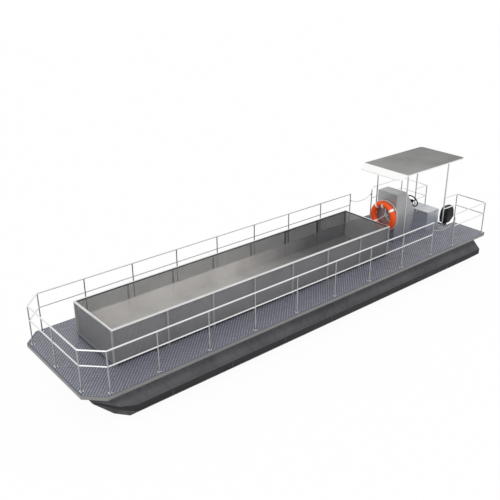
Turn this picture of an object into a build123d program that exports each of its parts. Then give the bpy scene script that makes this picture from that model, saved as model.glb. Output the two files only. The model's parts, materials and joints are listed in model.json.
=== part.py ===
from build123d import *
import os
from math import cos, pi, radians, sin, sqrt, tan

# A twin-pontoon work boat with an open mesh hopper on its deck, a stern helm under a canopy and an
# outboard motor in a stern notch. Millimetres, +X to the bow, +Y to port, +Z up.
# While modelling, x is measured from the deck's stern edge and z from the floor under the pontoons.
# save() then moves everything so that the origin is the middle of the overall box, on the floor.

# Deck
DECK_LENGTH = 12400.0
DECK_WIDTH = 3060.0
DECK_HEIGHT = 930.0
DECK_PLATE = 5.0
BOW_CHAMFER = 350.0
STERN_CORNER_R = 70.0
BAND_HEIGHT = 75.0
BAND_THICKNESS = 6.0
NOTCH_DEPTH = 430.0
NOTCH_WIDTH = 920.0
NOTCH_CORNER_R = 60.0

# Cross-beams and the risers that carry them
BEAM_WIDTH = 60.0
BEAM_WALL = 6.0
BEAM_STERN_X = 480.0
BEAM_BOW_MARGIN = 420.0
BEAM_COUNT = 11
BEAM_INSET = 20.0
RISER_WIDTH = 180.0
RISER_WALL = 6.0
RISER_STERN_X = 160.0
RISER_BOW_MARGIN = 380.0

# Pontoons
PONTOON_INSET = 500.0
PONTOON_TOP_Z = 730.0
PONTOON_STERN_X = 100.0
PONTOON_CORNER_R = 26.0

# Railings
RAIL_INSET = 80.0
RAIL_D = 32.0
POST_D = 28.0
MID_RAIL_D = 28.0
TOP_RAIL_Z = 900.0
MID_RAIL_Z = 570.0
COPE = 0.3
GANGWAY_AFT_X = 1486.0
GANGWAY_FORE_X = 2420.0
BAY_POSTS = 8
LAST_BAY = 1067.0
CORNER_POST_INSET = 114.0
BOW_POST_INSET = 84.0
STERN_POST_X = 90.0
STERN_POST_MARGIN = 70.0
ELBOW_R = 90.0
FLANGE_D = 84.0
FLANGE_THICKNESS = 8.0
COLLAR_WALL = 5.0
COLLAR_HEIGHT = 22.0

# Gangway ropes and their eyes
ROPE_D = 12.0
LUG_THICKNESS = 8.0
LUG_HEIGHT = 30.0
FERRULE_D = 18.0
FERRULE_LENGTH = 22.0

# Hopper
HOPPER_STERN_X = 3350.0
HOPPER_BOW_MARGIN = 935.0
WALKWAY = 755.0
HOPPER_BOTTOM_Z = 70.0
HOPPER_TOP_Z = 838.0
HOPPER_POST = 34.0
HOPPER_FIRST_BAY = 1069.0
HOPPER_LAST_BAY = 1264.0
HOPPER_BAYS = 5
MESH_THICKNESS = 6.0
RIM_HEIGHT = 26.0
SILL_HEIGHT = 40.0
FOOT = 70.0
FOOT_INSET = 3.0

# Canopy
CANOPY_TOP_Z = 2065.0
CANOPY_STERN_X = 260.0
CANOPY_BREAK_X = 2735.0
CANOPY_BOW_X = 2955.0
VISOR_DROP = 105.0
CANOPY_WIDTH = 1480.0
CANOPY_THICKNESS = 32.0
VISOR_CORNER_R = 170.0
CANOPY_CORNER_R = 105.0
CANOPY_BAR = 30.0
CANOPY_POST_D = 38.0
CANOPY_POST_Y = 504.0
CANOPY_POST_FORE_X = 2400.0
CANOPY_POST_AFT_X = 640.0
CANOPY_FLANGE_D = 110.0

# Helm
CONSOLE_FORE_X = 2567.0
CONSOLE_TOP_AFT_X = 2165.0
CONSOLE_DASH_AFT_X = 1776.0
CONSOLE_FOOT_AFT_X = 1870.0
CONSOLE_TOP_Z = 1374.0
CONSOLE_DASH_Z = 800.0
CONSOLE_WIDTH = 660.0
CONSOLE_EDGE_R = 12.0
SEAT_AFT_X = 660.0
SEAT_FORE_X = 1180.0
SEAT_WIDTH = 740.0
SEAT_HEIGHT = 550.0
SEAT_EDGE_R = 10.0
WHEEL_X = 1460.0
WHEEL_Z = 872.0
WHEEL_TILT = 23.0
WHEEL_R = 200.0
WHEEL_RIM_D = 34.0
WHEEL_SPOKES = 3
WHEEL_SPOKE_D = 26.0
WHEEL_HUB_D = 90.0
WHEEL_HUB_LENGTH = 40.0
COLUMN_D = 54.0
SHAFT_D = 20.0
RUNNING_FIT = 0.05
MOVING_GAP = 6.0

# Lifebuoy and its holder
BUOY_X = 2682.0
BUOY_Z = 725.0
BUOY_R = 339.0
BUOY_TUBE_R = 79.0
BUOY_BAND_ANGLE = 9.0
BUOY_BAND_AT = [40.0, 130.0, 220.0, 310.0]
HOLDER_BAR = 36.0
HOLDER_THICKNESS = 8.0
HOLDER_HUB_D = 70.0
HOLDER_ARMS_AT = [90.0, 220.0, 320.0]
HOOK_WIDTH = 64.0
HOOK_TIP = 110.0
HOLDER_FORK_WIDTH = 170.0
HOLDER_PLATE_D = 120.0
HOLDER_STEM_D = 48.0

# Outboard motor, heights from the deck top and places from the deck's stern edge
TRANSOM_BEAM_X = 40.0
TRANSOM_BEAM_WIDTH = 60.0
TRANSOM_BEAM_HEIGHT = 120.0
TRANSOM_BEAM_TOP = -440.0
TRANSOM_TOP = -240.0
TRANSOM_HEIGHT = 380.0
TRANSOM_WIDTH = 420.0
TRANSOM_THICKNESS = 45.0
CLAMP_ARM = 26.0
CLAMP_HALF_WIDTH = 92.0
CLAMP_DROP = 200.0
SWIVEL_HEIGHT = 210.0
TILT_X = -46.0
TILT_Z = -205.0
TILT_TUBE_D = 36.0
TILT_PIN_D = 18.0
STEER_X = -135.0
STEER_PIN_D = 30.0
COWL_LENGTH = 440.0
COWL_WIDTH = 280.0
COWL_FRONT_X = -88.0
COWL_BOTTOM = -170.0
COWL_HEIGHT = 465.0
COWL_WALL = 5.0
COWL_EASE = 12.0
COWL_FOOT_LENGTH = 266.0
POWERHEAD_LENGTH = 220.0
POWERHEAD_WIDTH = 170.0
POWERHEAD_HEIGHT = 300.0
LEG_LENGTH = 150.0
LEG_WIDTH = 62.0
LEG_SETBACK = 62.0
LEG_RAKE = 30.0
PLATE_LENGTH = 290.0
PLATE_WIDTH = 150.0
PLATE_Z = -596.0
PROP_Z = -728.0
GEARCASE_R = 38.0
NOSE_R = 9.0
SKEG_Z = -860.0
PROP_R = 112.0
PROP_HUB_R = 30.0
PROP_HUB_LENGTH = 76.0
PROP_SHAFT_D = 18.0
PROP_BLADES = 3

HALF_DECK = DECK_WIDTH / 2
BEAM_PITCH = (DECK_LENGTH - BEAM_BOW_MARGIN - BEAM_STERN_X) / (BEAM_COUNT - 1)
PONTOON_Y = HALF_DECK - PONTOON_INSET
RAIL_Y = HALF_DECK - RAIL_INSET
CORNER_POST_X = DECK_LENGTH - BOW_CHAMFER - CORNER_POST_INSET
BOW_POST_X = DECK_LENGTH - BOW_POST_INSET
BOW_POST_Y = HALF_DECK - BOW_CHAMFER - CORNER_POST_INSET
POST_PITCH = (CORNER_POST_X - LAST_BAY - GANGWAY_FORE_X) / (BAY_POSTS - 1)
STERN_POST_Y = NOTCH_WIDTH / 2 + STERN_POST_MARGIN
HOPPER_BOW_X = DECK_LENGTH - HOPPER_BOW_MARGIN
HOPPER_HALF_WIDTH = HALF_DECK - WALKWAY
MOTOR_AFT_X = COWL_FRONT_X - COWL_LENGTH
X_MIDDLE = (DECK_LENGTH + MOTOR_AFT_X) / 2


def save(name, *solids):
    """Write one node, moved so that the origin is the middle of the overall box."""
    moved = [s.moved(Location((-X_MIDDLE, 0, 0))) for s in solids]
    shape = moved[0] if len(moved) == 1 else Compound(label=name, children=moved)
    os.makedirs("parts", exist_ok=True)
    export_step(shape, f"parts/{name}.step")


def on_deck(z):
    """Height over the floor of a height over the deck."""
    return DECK_HEIGHT + z


def rod(start, end, diameter):
    """A round bar between two points."""
    a, b = Vector(*start), Vector(*end)
    return Solid.make_cylinder(diameter / 2, (b - a).length, Plane(origin=a, z_dir=b - a))


def block(x0, x1, y0, y1, z0, z1):
    """A rectangular block between two corners."""
    return Solid.make_box(x1 - x0, y1 - y0, z1 - z0, Plane(origin=(x0, y0, z0)))


def mirrored(solid):
    """The same piece on the starboard side."""
    return solid.mirror(Plane.XZ)


def first_solid(shape):
    """The only solid of a boolean's result."""
    return shape.solids()[0]


def both_sides(*solids):
    """Pieces on the port side, followed by their like on the starboard side."""
    return [*solids, *[mirrored(s) for s in solids]]


def tube_run(points, index, diameter):
    """One straight run of a bent rail, cut at half the turn where it meets its neighbours."""
    a, b = Vector(*points[index]), Vector(*points[index + 1])
    along = (b - a).normalized()
    spare = diameter
    start = a - along * spare if index > 0 else a
    end = b + along * spare if index + 2 < len(points) else b
    solid = rod(tuple(start), tuple(end), diameter)
    if index > 0:
        before = (a - Vector(*points[index - 1])).normalized()
        solid = split(solid, bisect_by=Plane(origin=a, z_dir=before + along), keep=Keep.TOP)
    if index + 2 < len(points):
        after = (Vector(*points[index + 2]) - b).normalized()
        solid = split(solid, bisect_by=Plane(origin=b, z_dir=along + after), keep=Keep.BOTTOM)
    return first_solid(solid)


# Hull and deck

def deck_outline(inset):
    """The deck's outline with chamfered bow corners, round stern corners and the motor notch."""
    half_notch = NOTCH_WIDTH / 2
    points = [
        (0, half_notch), (0, HALF_DECK), (DECK_LENGTH - BOW_CHAMFER, HALF_DECK),
        (DECK_LENGTH, HALF_DECK - BOW_CHAMFER), (DECK_LENGTH, -HALF_DECK + BOW_CHAMFER),
        (DECK_LENGTH - BOW_CHAMFER, -HALF_DECK), (0, -HALF_DECK), (0, -half_notch),
        (NOTCH_DEPTH, -half_notch), (NOTCH_DEPTH, half_notch),
    ]
    face = make_face(Polyline(*points, close=True))
    outer = [v for v in face.vertices() if v.X < 1 and abs(v.Y) > half_notch + 1]
    face = fillet(outer, STERN_CORNER_R)
    inner = [v for v in face.vertices() if abs(v.X - NOTCH_DEPTH) < 1]
    face = fillet(inner, NOTCH_CORNER_R)
    if inset:
        face = offset(face, amount=-inset, kind=Kind.INTERSECTION)
    return face


def prism(face, z0, height):
    """A flat face raised into a solid from one height."""
    return first_solid(extrude(Pos(0, 0, z0) * face, amount=height, dir=(0, 0, 1)))


deck_sheet = prism(deck_outline(BAND_THICKNESS), DECK_HEIGHT - DECK_PLATE, DECK_PLATE)
sheet_joint = Plane(origin=(NOTCH_DEPTH + BAND_THICKNESS, 0, 0), z_dir=(1, 0, 0))
band_bottom = DECK_HEIGHT - BAND_HEIGHT
deck_band = first_solid(
    prism(deck_outline(0), band_bottom, BAND_HEIGHT)
    - prism(deck_outline(BAND_THICKNESS), band_bottom - 1, BAND_HEIGHT + 2)
)
save("deck_plate", first_solid(split(deck_sheet, bisect_by=sheet_joint, keep=Keep.TOP)))
save("stern_deck_plates", *split(deck_sheet, bisect_by=sheet_joint, keep=Keep.BOTTOM).solids())
save("deck_edge_band", deck_band)

beam_top = DECK_HEIGHT - DECK_PLATE
beam_bottom = band_bottom
beam_half = HALF_DECK - BAND_THICKNESS - BEAM_INSET


def cross_beam(x):
    """A channel across the boat under the deck plate, open to the bow."""
    outer = block(x, x + BEAM_WIDTH, -beam_half, beam_half, beam_bottom, beam_top)
    pocket = block(x + BEAM_WALL, x + BEAM_WIDTH + 1, -beam_half - 1, beam_half + 1,
                   beam_bottom + BEAM_WALL, beam_top - BEAM_WALL)
    return first_solid(outer - pocket)


save("cross_beams", *[cross_beam(BEAM_STERN_X + i * BEAM_PITCH) for i in range(BEAM_COUNT)])


def riser():
    """An upturned channel along a pontoon's top, which carries the cross-beams."""
    low, high = PONTOON_Y - RISER_WIDTH / 2, PONTOON_Y + RISER_WIDTH / 2
    bow_x = DECK_LENGTH - RISER_BOW_MARGIN
    outer = block(RISER_STERN_X, bow_x, low, high, PONTOON_TOP_Z, beam_bottom)
    hollow = block(RISER_STERN_X - 1, bow_x + 1, low + RISER_WALL, high - RISER_WALL,
                   PONTOON_TOP_Z - 1, beam_bottom - RISER_WALL)
    return first_solid(outer - hollow)


save("pontoon_risers", *both_sides(riser()))

# One row for each section of a pontoon:
# x, half width of the flat top, half width of the side, half width of the flat bottom,
# height of the side's upper edge, height of its lower edge, height of the bottom
PONTOON_SECTIONS = [
    (PONTOON_STERN_X, 125, 445, 125, 440, 290, 0),
    (DECK_LENGTH - 980, 125, 445, 125, 440, 290, 0),
    (DECK_LENGTH - 650, 125, 385, 120, 520, 440, 205),
    (DECK_LENGTH - 250, 105, 170, 90, 700, 650, 600),
]


def pontoon_section(x, top, side, bottom, z_upper, z_lower, z_bottom):
    """An eight-sided section with soft corners, standing across the boat."""
    half = [(top, PONTOON_TOP_Z), (side, z_upper), (side, z_lower), (bottom, z_bottom)]
    ring = half + [(-y, z) for y, z in reversed(half)]
    wire = Plane(origin=(x, PONTOON_Y, 0), x_dir=(0, 1, 0), z_dir=(1, 0, 0)) * Polyline(*ring, close=True)
    face = make_face(wire)
    return fillet(face.vertices(), PONTOON_CORNER_R)


def pontoon():
    """A decked hull with a raked and narrowed bow."""
    faces = [pontoon_section(*row) for row in PONTOON_SECTIONS]
    return first_solid(loft(faces, ruled=True))


port_pontoon = pontoon()
save("pontoon_port", port_pontoon)
save("pontoon_starboard", mirrored(port_pontoon))

# Railings

rail_z = on_deck(TOP_RAIL_Z)
mid_z = on_deck(MID_RAIL_Z)
post_foot_z = DECK_HEIGHT + FLANGE_THICKNESS
side_post_x = [GANGWAY_FORE_X + i * POST_PITCH for i in range(BAY_POSTS)] + [CORNER_POST_X]

# Each route is (x, y) in plan. Round the bow: from the port gangway past every post to the starboard one.
side_places = [(x, RAIL_Y) for x in side_post_x]
bow_places = [(BOW_POST_X, y) for y in (BOW_POST_Y, 0.0, -BOW_POST_Y)]
bow_route = [(GANGWAY_FORE_X - RAIL_D / 2, RAIL_Y), side_places[-1], bow_places[0], bow_places[-1],
             (CORNER_POST_X, -RAIL_Y), (GANGWAY_FORE_X - RAIL_D / 2, -RAIL_Y)]
# At the stern: from the elbow over the gangway's aft post, round two posts to the canopy's aft post.
gangway_aft = (GANGWAY_AFT_X, RAIL_Y)
stern_places = [(STERN_POST_X, RAIL_Y), (STERN_POST_X, STERN_POST_Y)]
canopy_aft = (CANOPY_POST_AFT_X, CANOPY_POST_Y)
stern_route = [(GANGWAY_AFT_X - ELBOW_R, RAIL_Y)] + stern_places + [canopy_aft]


def at_height(route, z):
    """A plan route's points at one height."""
    return [(x, y, z) for x, y in route]


def upright(place, diameter, z0, z1):
    """A round upright at a place in plan."""
    return rod((place[0], place[1], z0), (place[0], place[1], z1), diameter)


def coped(run, places, diameter):
    """A rail cut back to stop against the posts at its ends."""
    for place in places:
        centre_z = run.center().Z
        run = run - upright(place, diameter + 2 * COPE, centre_z - RAIL_D, centre_z + RAIL_D)
    return max(run.solids(), key=lambda s: s.volume)


def rail_runs(route, z, diameter):
    """The straight runs of a rail along a route."""
    spots = at_height(route, z)
    return [tube_run(spots, i, diameter) for i in range(len(route) - 1)]


bow_top = rail_runs(bow_route, rail_z, RAIL_D)
stern_top = rail_runs(stern_route, rail_z, RAIL_D)
stern_top[2] = coped(stern_top[2], [canopy_aft], CANOPY_POST_D)

bow_mid_route = side_places + bow_places + [(CORNER_POST_X, -RAIL_Y)]
bow_mid = rail_runs(bow_mid_route, mid_z, MID_RAIL_D)
bow_mid = [coped(run, bow_mid_route[i:i + 2], POST_D) for i, run in enumerate(bow_mid)]
stern_mid = rail_runs([gangway_aft] + stern_route[1:], mid_z, MID_RAIL_D)
stern_mid[0] = coped(coped(stern_mid[0], [gangway_aft], RAIL_D), stern_places[:1], POST_D)
stern_mid[1] = coped(stern_mid[1], stern_places, POST_D)
stern_mid[2] = coped(coped(stern_mid[2], stern_places[1:], POST_D), [canopy_aft], CANOPY_POST_D)

side_bays = BAY_POSTS
side_rails = [bow_top[0], stern_top[0], stern_mid[0]] + bow_mid[:side_bays]
save("side_rails_port", *side_rails)
save("side_rails_starboard", *[mirrored(r) for r in side_rails])
corner_rails = [bow_top[1], bow_mid[side_bays]]
save("bow_corner_rails", *both_sides(*corner_rails))
save("bow_rails", bow_top[2], bow_mid[side_bays + 1], bow_mid[side_bays + 2])
save("stern_rails_cross", *both_sides(stern_top[1], stern_mid[1]))
save("stern_rails_return", *both_sides(stern_top[2], stern_mid[2]))


def elbow():
    """The quarter bend that turns the gangway's aft post into the top rail."""
    centre = (GANGWAY_AFT_X - ELBOW_R, RAIL_Y, rail_z - ELBOW_R)
    ring = Plane(origin=(GANGWAY_AFT_X, RAIL_Y, rail_z - ELBOW_R)) * Circle(RAIL_D / 2)
    return first_solid(revolve(ring, axis=Axis(centre, (0, -1, 0)), revolution_arc=90))


save("stern_rail_elbows", *both_sides(elbow()))


def seated_post(place, seats):
    """An upright on its flange, its head hollowed to seat the top rail."""
    post = upright(place, POST_D, post_foot_z, rail_z)
    for seat in seats:
        post = post - seat
    return first_solid(post)


def rail_seats(route):
    """Bars a hair thicker than the top rail and longer than its runs, for hollowing the posts' heads."""
    bars = []
    for start, end in zip(at_height(route, rail_z), at_height(route[1:], rail_z)):
        spare = (Vector(*end) - Vector(*start)).normalized() * RAIL_D
        bars.append(rod(tuple(Vector(*start) - spare), tuple(Vector(*end) + spare), RAIL_D + 2 * COPE))
    return bars


bow_seats = rail_seats(bow_route)
stern_seats = rail_seats(stern_route)
port_posts = [seated_post(place, bow_seats[:2]) for place in side_places]
port_posts += [seated_post(place, stern_seats) for place in stern_places]
port_posts.append(upright(gangway_aft, RAIL_D, post_foot_z, rail_z - ELBOW_R))
save("stanchions_port", *port_posts)
save("stanchions_starboard", *[mirrored(p) for p in port_posts])
save("stanchions_bow", *[seated_post(place, bow_seats[1:4]) for place in bow_places])


def foot_flange(x, y, post_d, flange_d):
    """A round foot with a collar round its post."""
    disc = rod((x, y, DECK_HEIGHT), (x, y, post_foot_z), flange_d)
    collar_top = post_foot_z + COLLAR_HEIGHT
    collar = rod((x, y, DECK_HEIGHT), (x, y, collar_top), post_d + 2 * (COPE + COLLAR_WALL))
    bore = rod((x, y, post_foot_z), (x, y, collar_top + 1), post_d + 2 * COPE)
    return first_solid(disc + collar - bore)


port_flanges = [foot_flange(x, y, POST_D, FLANGE_D) for x, y in side_places + stern_places]
port_flanges.append(foot_flange(*gangway_aft, RAIL_D, FLANGE_D))
bow_flanges = [foot_flange(x, y, POST_D, FLANGE_D) for x, y in bow_places]
save("stanchion_flanges", *both_sides(*port_flanges), *bow_flanges)

# Gangway ropes, each hanging between two eyes

# The rope's points, x and height over the deck, from the fore ferrule to the aft one
ROPE_POINTS = [
    (2366, 682), (2285, 650), (2170, 617), (2035, 596), (1890, 590), (1755, 603), (1640, 636), (1552, 682),
]
rope_spots = [Vector(x, RAIL_Y, on_deck(z)) for x, z in ROPE_POINTS]


def eye(place, post_d, rope_end, rope_next):
    """A lug on a post's side and the ferrule that holds the rope's end on it."""
    back = (rope_end - rope_next).normalized() * FERRULE_LENGTH
    tip = rope_end + back
    reach = tip.X - (place[0] - tip.X) / abs(place[0] - tip.X) * FERRULE_D / 2
    low_x, high_x = min(place[0], reach), max(place[0], reach)
    lug = block(low_x, high_x, RAIL_Y - LUG_THICKNESS / 2, RAIL_Y + LUG_THICKNESS / 2,
                tip.Z - LUG_HEIGHT / 2, tip.Z + LUG_HEIGHT / 2)
    ferrule = rod(tuple(tip), tuple(rope_end), FERRULE_D)
    return first_solid(lug - upright(place, post_d + 2 * COPE, mid_z, rail_z) + ferrule)


port_eyes = [eye(side_places[0], POST_D, rope_spots[0], rope_spots[1]),
             eye(gangway_aft, RAIL_D, rope_spots[-1], rope_spots[-2])]
save("gangway_eyes", *both_sides(*port_eyes))


def rope():
    """The rope's tube, straight runs joined by arcs as large as the runs allow."""
    radii = []
    for before, corner, after in zip(rope_spots, rope_spots[1:], rope_spots[2:]):
        turn = (corner - before).get_angle(after - corner)
        shorter = min((corner - before).length, (after - corner).length)
        radii.append(0.45 * shorter / tan(radians(turn) / 2))
    path = FilletPolyline(*rope_spots, radius=radii)
    section = Plane(origin=rope_spots[0], z_dir=rope_spots[1] - rope_spots[0]) * Circle(ROPE_D / 2)
    tube = first_solid(sweep(section, path=path))
    wanted = path.length * pi * ROPE_D ** 2 / 4
    print("rope radii", [round(r) for r in radii], "length", round(path.length),
          "volume ratio", round(tube.volume / wanted, 4))
    return tube


port_rope = rope()
save("gangway_rope_port", port_rope)
save("gangway_rope_starboard", mirrored(port_rope))

# Hopper

hopper_z0 = on_deck(HOPPER_BOTTOM_Z)
hopper_z1 = on_deck(HOPPER_TOP_Z)
rim_z = hopper_z1 - RIM_HEIGHT
sill_z = hopper_z0 + SILL_HEIGHT
post_in = HOPPER_HALF_WIDTH - HOPPER_POST
hopper_corner_x = [HOPPER_STERN_X + HOPPER_POST / 2, HOPPER_BOW_X - HOPPER_POST / 2]
first_post_x = hopper_corner_x[0] + HOPPER_FIRST_BAY
hopper_bay = (hopper_corner_x[1] - HOPPER_LAST_BAY - first_post_x) / HOPPER_BAYS
hopper_post_x = [first_post_x + i * hopper_bay for i in range(HOPPER_BAYS + 1)]
hopper_post_x = [hopper_corner_x[0], *hopper_post_x, hopper_corner_x[1]]
mesh_in = post_in - MESH_THICKNESS
end_aft = HOPPER_STERN_X + HOPPER_POST
end_fore = HOPPER_BOW_X - HOPPER_POST

# The frame posts stand outside the mesh, between the sill and the rim
port_hopper_posts = [block(x - HOPPER_POST / 2, x + HOPPER_POST / 2, post_in, HOPPER_HALF_WIDTH, sill_z, rim_z)
                     for x in hopper_post_x]
save("hopper_posts", *both_sides(*port_hopper_posts))

rim_side = block(HOPPER_STERN_X, HOPPER_BOW_X, mesh_in, HOPPER_HALF_WIDTH, rim_z, hopper_z1)
save("hopper_rim_sides", *both_sides(rim_side))
save("hopper_rim_ends",
     block(HOPPER_STERN_X, end_aft + MESH_THICKNESS, -mesh_in, mesh_in, rim_z, hopper_z1),
     block(end_fore - MESH_THICKNESS, HOPPER_BOW_X, -mesh_in, mesh_in, rim_z, hopper_z1))

sill_side = block(HOPPER_STERN_X, HOPPER_BOW_X, mesh_in, HOPPER_HALF_WIDTH, hopper_z0, sill_z)
save("hopper_sill_sides", *both_sides(sill_side))
save("hopper_sill_ends",
     block(HOPPER_STERN_X, end_aft + MESH_THICKNESS, -mesh_in, mesh_in, hopper_z0, sill_z),
     block(end_fore - MESH_THICKNESS, HOPPER_BOW_X, -mesh_in, mesh_in, hopper_z0, sill_z))

mesh_side = block(end_aft, end_fore, mesh_in, post_in, sill_z, rim_z)
save("hopper_side_port", mesh_side)
save("hopper_side_starboard", mirrored(mesh_side))
save("hopper_end_stern", block(end_aft, end_aft + MESH_THICKNESS, -mesh_in, mesh_in, sill_z, rim_z))
save("hopper_end_bow", block(end_fore - MESH_THICKNESS, end_fore, -mesh_in, mesh_in, sill_z, rim_z))
save("hopper_floor", block(end_aft + MESH_THICKNESS, end_fore - MESH_THICKNESS, -mesh_in, mesh_in,
                           sill_z - MESH_THICKNESS, sill_z))

port_feet = []
for x in hopper_post_x:
    mid = min(max(x, HOPPER_STERN_X + FOOT_INSET + FOOT / 2), HOPPER_BOW_X - FOOT_INSET - FOOT / 2)
    outer_y = HOPPER_HALF_WIDTH - FOOT_INSET
    port_feet.append(block(mid - FOOT / 2, mid + FOOT / 2, outer_y - FOOT, outer_y, DECK_HEIGHT, hopper_z0))
save("hopper_feet", *both_sides(*port_feet))

# Canopy

roof_z = on_deck(CANOPY_TOP_Z)
roof_half = CANOPY_WIDTH / 2


def canopy_roof():
    """A flat panel whose front bends down into a visor with large round corners."""
    side = Plane.XZ * make_face(Polyline(
        (CANOPY_STERN_X, roof_z), (CANOPY_BREAK_X, roof_z), (CANOPY_BOW_X, roof_z - VISOR_DROP),
        (CANOPY_BOW_X, roof_z - VISOR_DROP - CANOPY_THICKNESS), (CANOPY_BREAK_X, roof_z - CANOPY_THICKNESS),
        (CANOPY_STERN_X, roof_z - CANOPY_THICKNESS), close=True))
    slab = first_solid(extrude(side, amount=roof_half, both=True))
    plan = Pos((CANOPY_STERN_X + CANOPY_BOW_X) / 2, 0) * Rectangle(CANOPY_BOW_X - CANOPY_STERN_X, CANOPY_WIDTH)
    middle = (CANOPY_STERN_X + CANOPY_BOW_X) / 2
    plan = fillet([v for v in plan.vertices() if v.X > middle], VISOR_CORNER_R)
    plan = fillet([v for v in plan.vertices() if v.X < CANOPY_STERN_X + 1], CANOPY_CORNER_R)
    return first_solid(slab & prism(plan, roof_z - VISOR_DROP - 2 * CANOPY_THICKNESS, 2 * VISOR_DROP))


save("canopy_roof", canopy_roof())

bar_top = roof_z - CANOPY_THICKNESS
bar_bottom = bar_top - CANOPY_BAR
frame_aft_x = CANOPY_STERN_X + CANOPY_CORNER_R
frame_fore_x = CANOPY_BREAK_X - 2 * CANOPY_BAR
bar_y = CANOPY_POST_Y


def canopy_frame():
    """Two bars along the roof and three across it, welded into one flat frame."""
    half = CANOPY_BAR / 2
    frame = block(frame_aft_x, frame_fore_x, bar_y - half, bar_y + half, bar_bottom, bar_top)
    frame = frame + mirrored(frame)
    for x in (CANOPY_POST_AFT_X, (CANOPY_POST_AFT_X + CANOPY_POST_FORE_X) / 2, CANOPY_POST_FORE_X):
        frame = frame + block(x - half, x + half, -roof_half + VISOR_CORNER_R / 2,
                              roof_half - VISOR_CORNER_R / 2, bar_bottom, bar_top)
    return first_solid(frame)


save("canopy_frame", canopy_frame())
canopy_places = [(x, y) for x in (CANOPY_POST_AFT_X, CANOPY_POST_FORE_X) for y in (bar_y, -bar_y)]
save("canopy_posts", *[rod((x, y, post_foot_z), (x, y, bar_bottom), CANOPY_POST_D) for x, y in canopy_places])
save("canopy_post_flanges", *[foot_flange(x, y, CANOPY_POST_D, CANOPY_FLANGE_D) for x, y in canopy_places])

# Helm: console, seat box, steering column and wheel


def console():
    """A sheet-metal console with a sloped dash and a foot that steps back from the helmsman."""
    side = Plane.XZ * make_face(Polyline(
        (CONSOLE_FOOT_AFT_X, DECK_HEIGHT), (CONSOLE_DASH_AFT_X, on_deck(CONSOLE_DASH_Z)),
        (CONSOLE_TOP_AFT_X, on_deck(CONSOLE_TOP_Z)), (CONSOLE_FORE_X, on_deck(CONSOLE_TOP_Z)),
        (CONSOLE_FORE_X, DECK_HEIGHT), close=True))
    body = first_solid(extrude(side, amount=CONSOLE_WIDTH / 2, both=True))
    rounded = [e for e in body.edges() if e.center().Z > DECK_HEIGHT + 1]
    return first_solid(fillet(rounded, CONSOLE_EDGE_R))


console_body = console()
save("console", console_body)

seat = block(SEAT_AFT_X, SEAT_FORE_X, -SEAT_WIDTH / 2, SEAT_WIDTH / 2, DECK_HEIGHT, on_deck(SEAT_HEIGHT))
save("seat_box", first_solid(fillet([e for e in seat.edges() if e.center().Z > DECK_HEIGHT + 1], SEAT_EDGE_R)))

# The wheel's axis points up and aft to the helmsman, and its plane's second direction points down
wheel_axis = Vector(-cos(radians(WHEEL_TILT)), 0, sin(radians(WHEEL_TILT)))
wheel_centre = Vector(WHEEL_X, 0, on_deck(WHEEL_Z))
wheel_plane = Plane(origin=wheel_centre, x_dir=(0, 1, 0), z_dir=wheel_axis)
column_top = wheel_centre - wheel_axis * (WHEEL_HUB_LENGTH / 2 + COPE)
shaft_top = wheel_centre + wheel_axis * (WHEEL_HUB_LENGTH / 4)


def steering_column():
    """A round column out of the console, with the wheel's shaft on its end."""
    inside = wheel_centre - wheel_axis * 500
    column = rod(tuple(column_top), tuple(inside), COLUMN_D) - console_body
    column = max(column.solids(), key=lambda s: s.volume)
    shaft = rod(tuple(column_top), tuple(shaft_top), SHAFT_D)
    return first_solid(column + shaft)


def steering_wheel():
    """A round rim on three spokes, bored to turn on the shaft."""
    rim = wheel_plane * Solid.make_torus(WHEEL_R - WHEEL_RIM_D / 2, WHEEL_RIM_D / 2)
    hub = wheel_plane * Pos(0, 0, -WHEEL_HUB_LENGTH / 2) * Solid.make_cylinder(WHEEL_HUB_D / 2, WHEEL_HUB_LENGTH)
    wheel = hub + rim
    for i in range(WHEEL_SPOKES):
        turn = radians(90 + i * 360 / WHEEL_SPOKES)
        reach = WHEEL_R - WHEEL_RIM_D / 2
        tip = wheel_plane.from_local_coords(Vector(reach * cos(turn), reach * sin(turn), 0))
        wheel = wheel + rod(tuple(wheel_centre), tuple(tip), WHEEL_SPOKE_D)
    below = wheel_centre - wheel_axis * WHEEL_HUB_LENGTH
    bore_end = shaft_top + wheel_axis * COPE
    bore = rod(tuple(below), tuple(bore_end), SHAFT_D + 2 * RUNNING_FIT)
    return first_solid(wheel - bore)


save("steering_column", steering_column())
save("steering_wheel", steering_wheel())

# Lifebuoy on its holder

buoy_z = on_deck(BUOY_Z)


def buoy_arc(start, sweep_angle):
    """A stretch of the ring, from one angle round its face, counted from port."""
    centre = Vector(BUOY_X, 0, buoy_z)
    spoke = Vector(0, cos(radians(start)), sin(radians(start)))
    ring = Plane(origin=centre + spoke * BUOY_R, x_dir=spoke,
                 z_dir=(0, -sin(radians(start)), cos(radians(start)))) * Circle(BUOY_TUBE_R)
    return first_solid(revolve(ring, axis=Axis(tuple(centre), (1, 0, 0)), revolution_arc=sweep_angle))


half_band = BUOY_BAND_ANGLE / 2
quarter = 360 / len(BUOY_BAND_AT)
save("lifebuoy_ring", *[buoy_arc(a + half_band, quarter - BUOY_BAND_ANGLE) for a in BUOY_BAND_AT])
save("lifebuoy_bands", *[buoy_arc(a - half_band, BUOY_BAND_ANGLE) for a in BUOY_BAND_AT])


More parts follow.
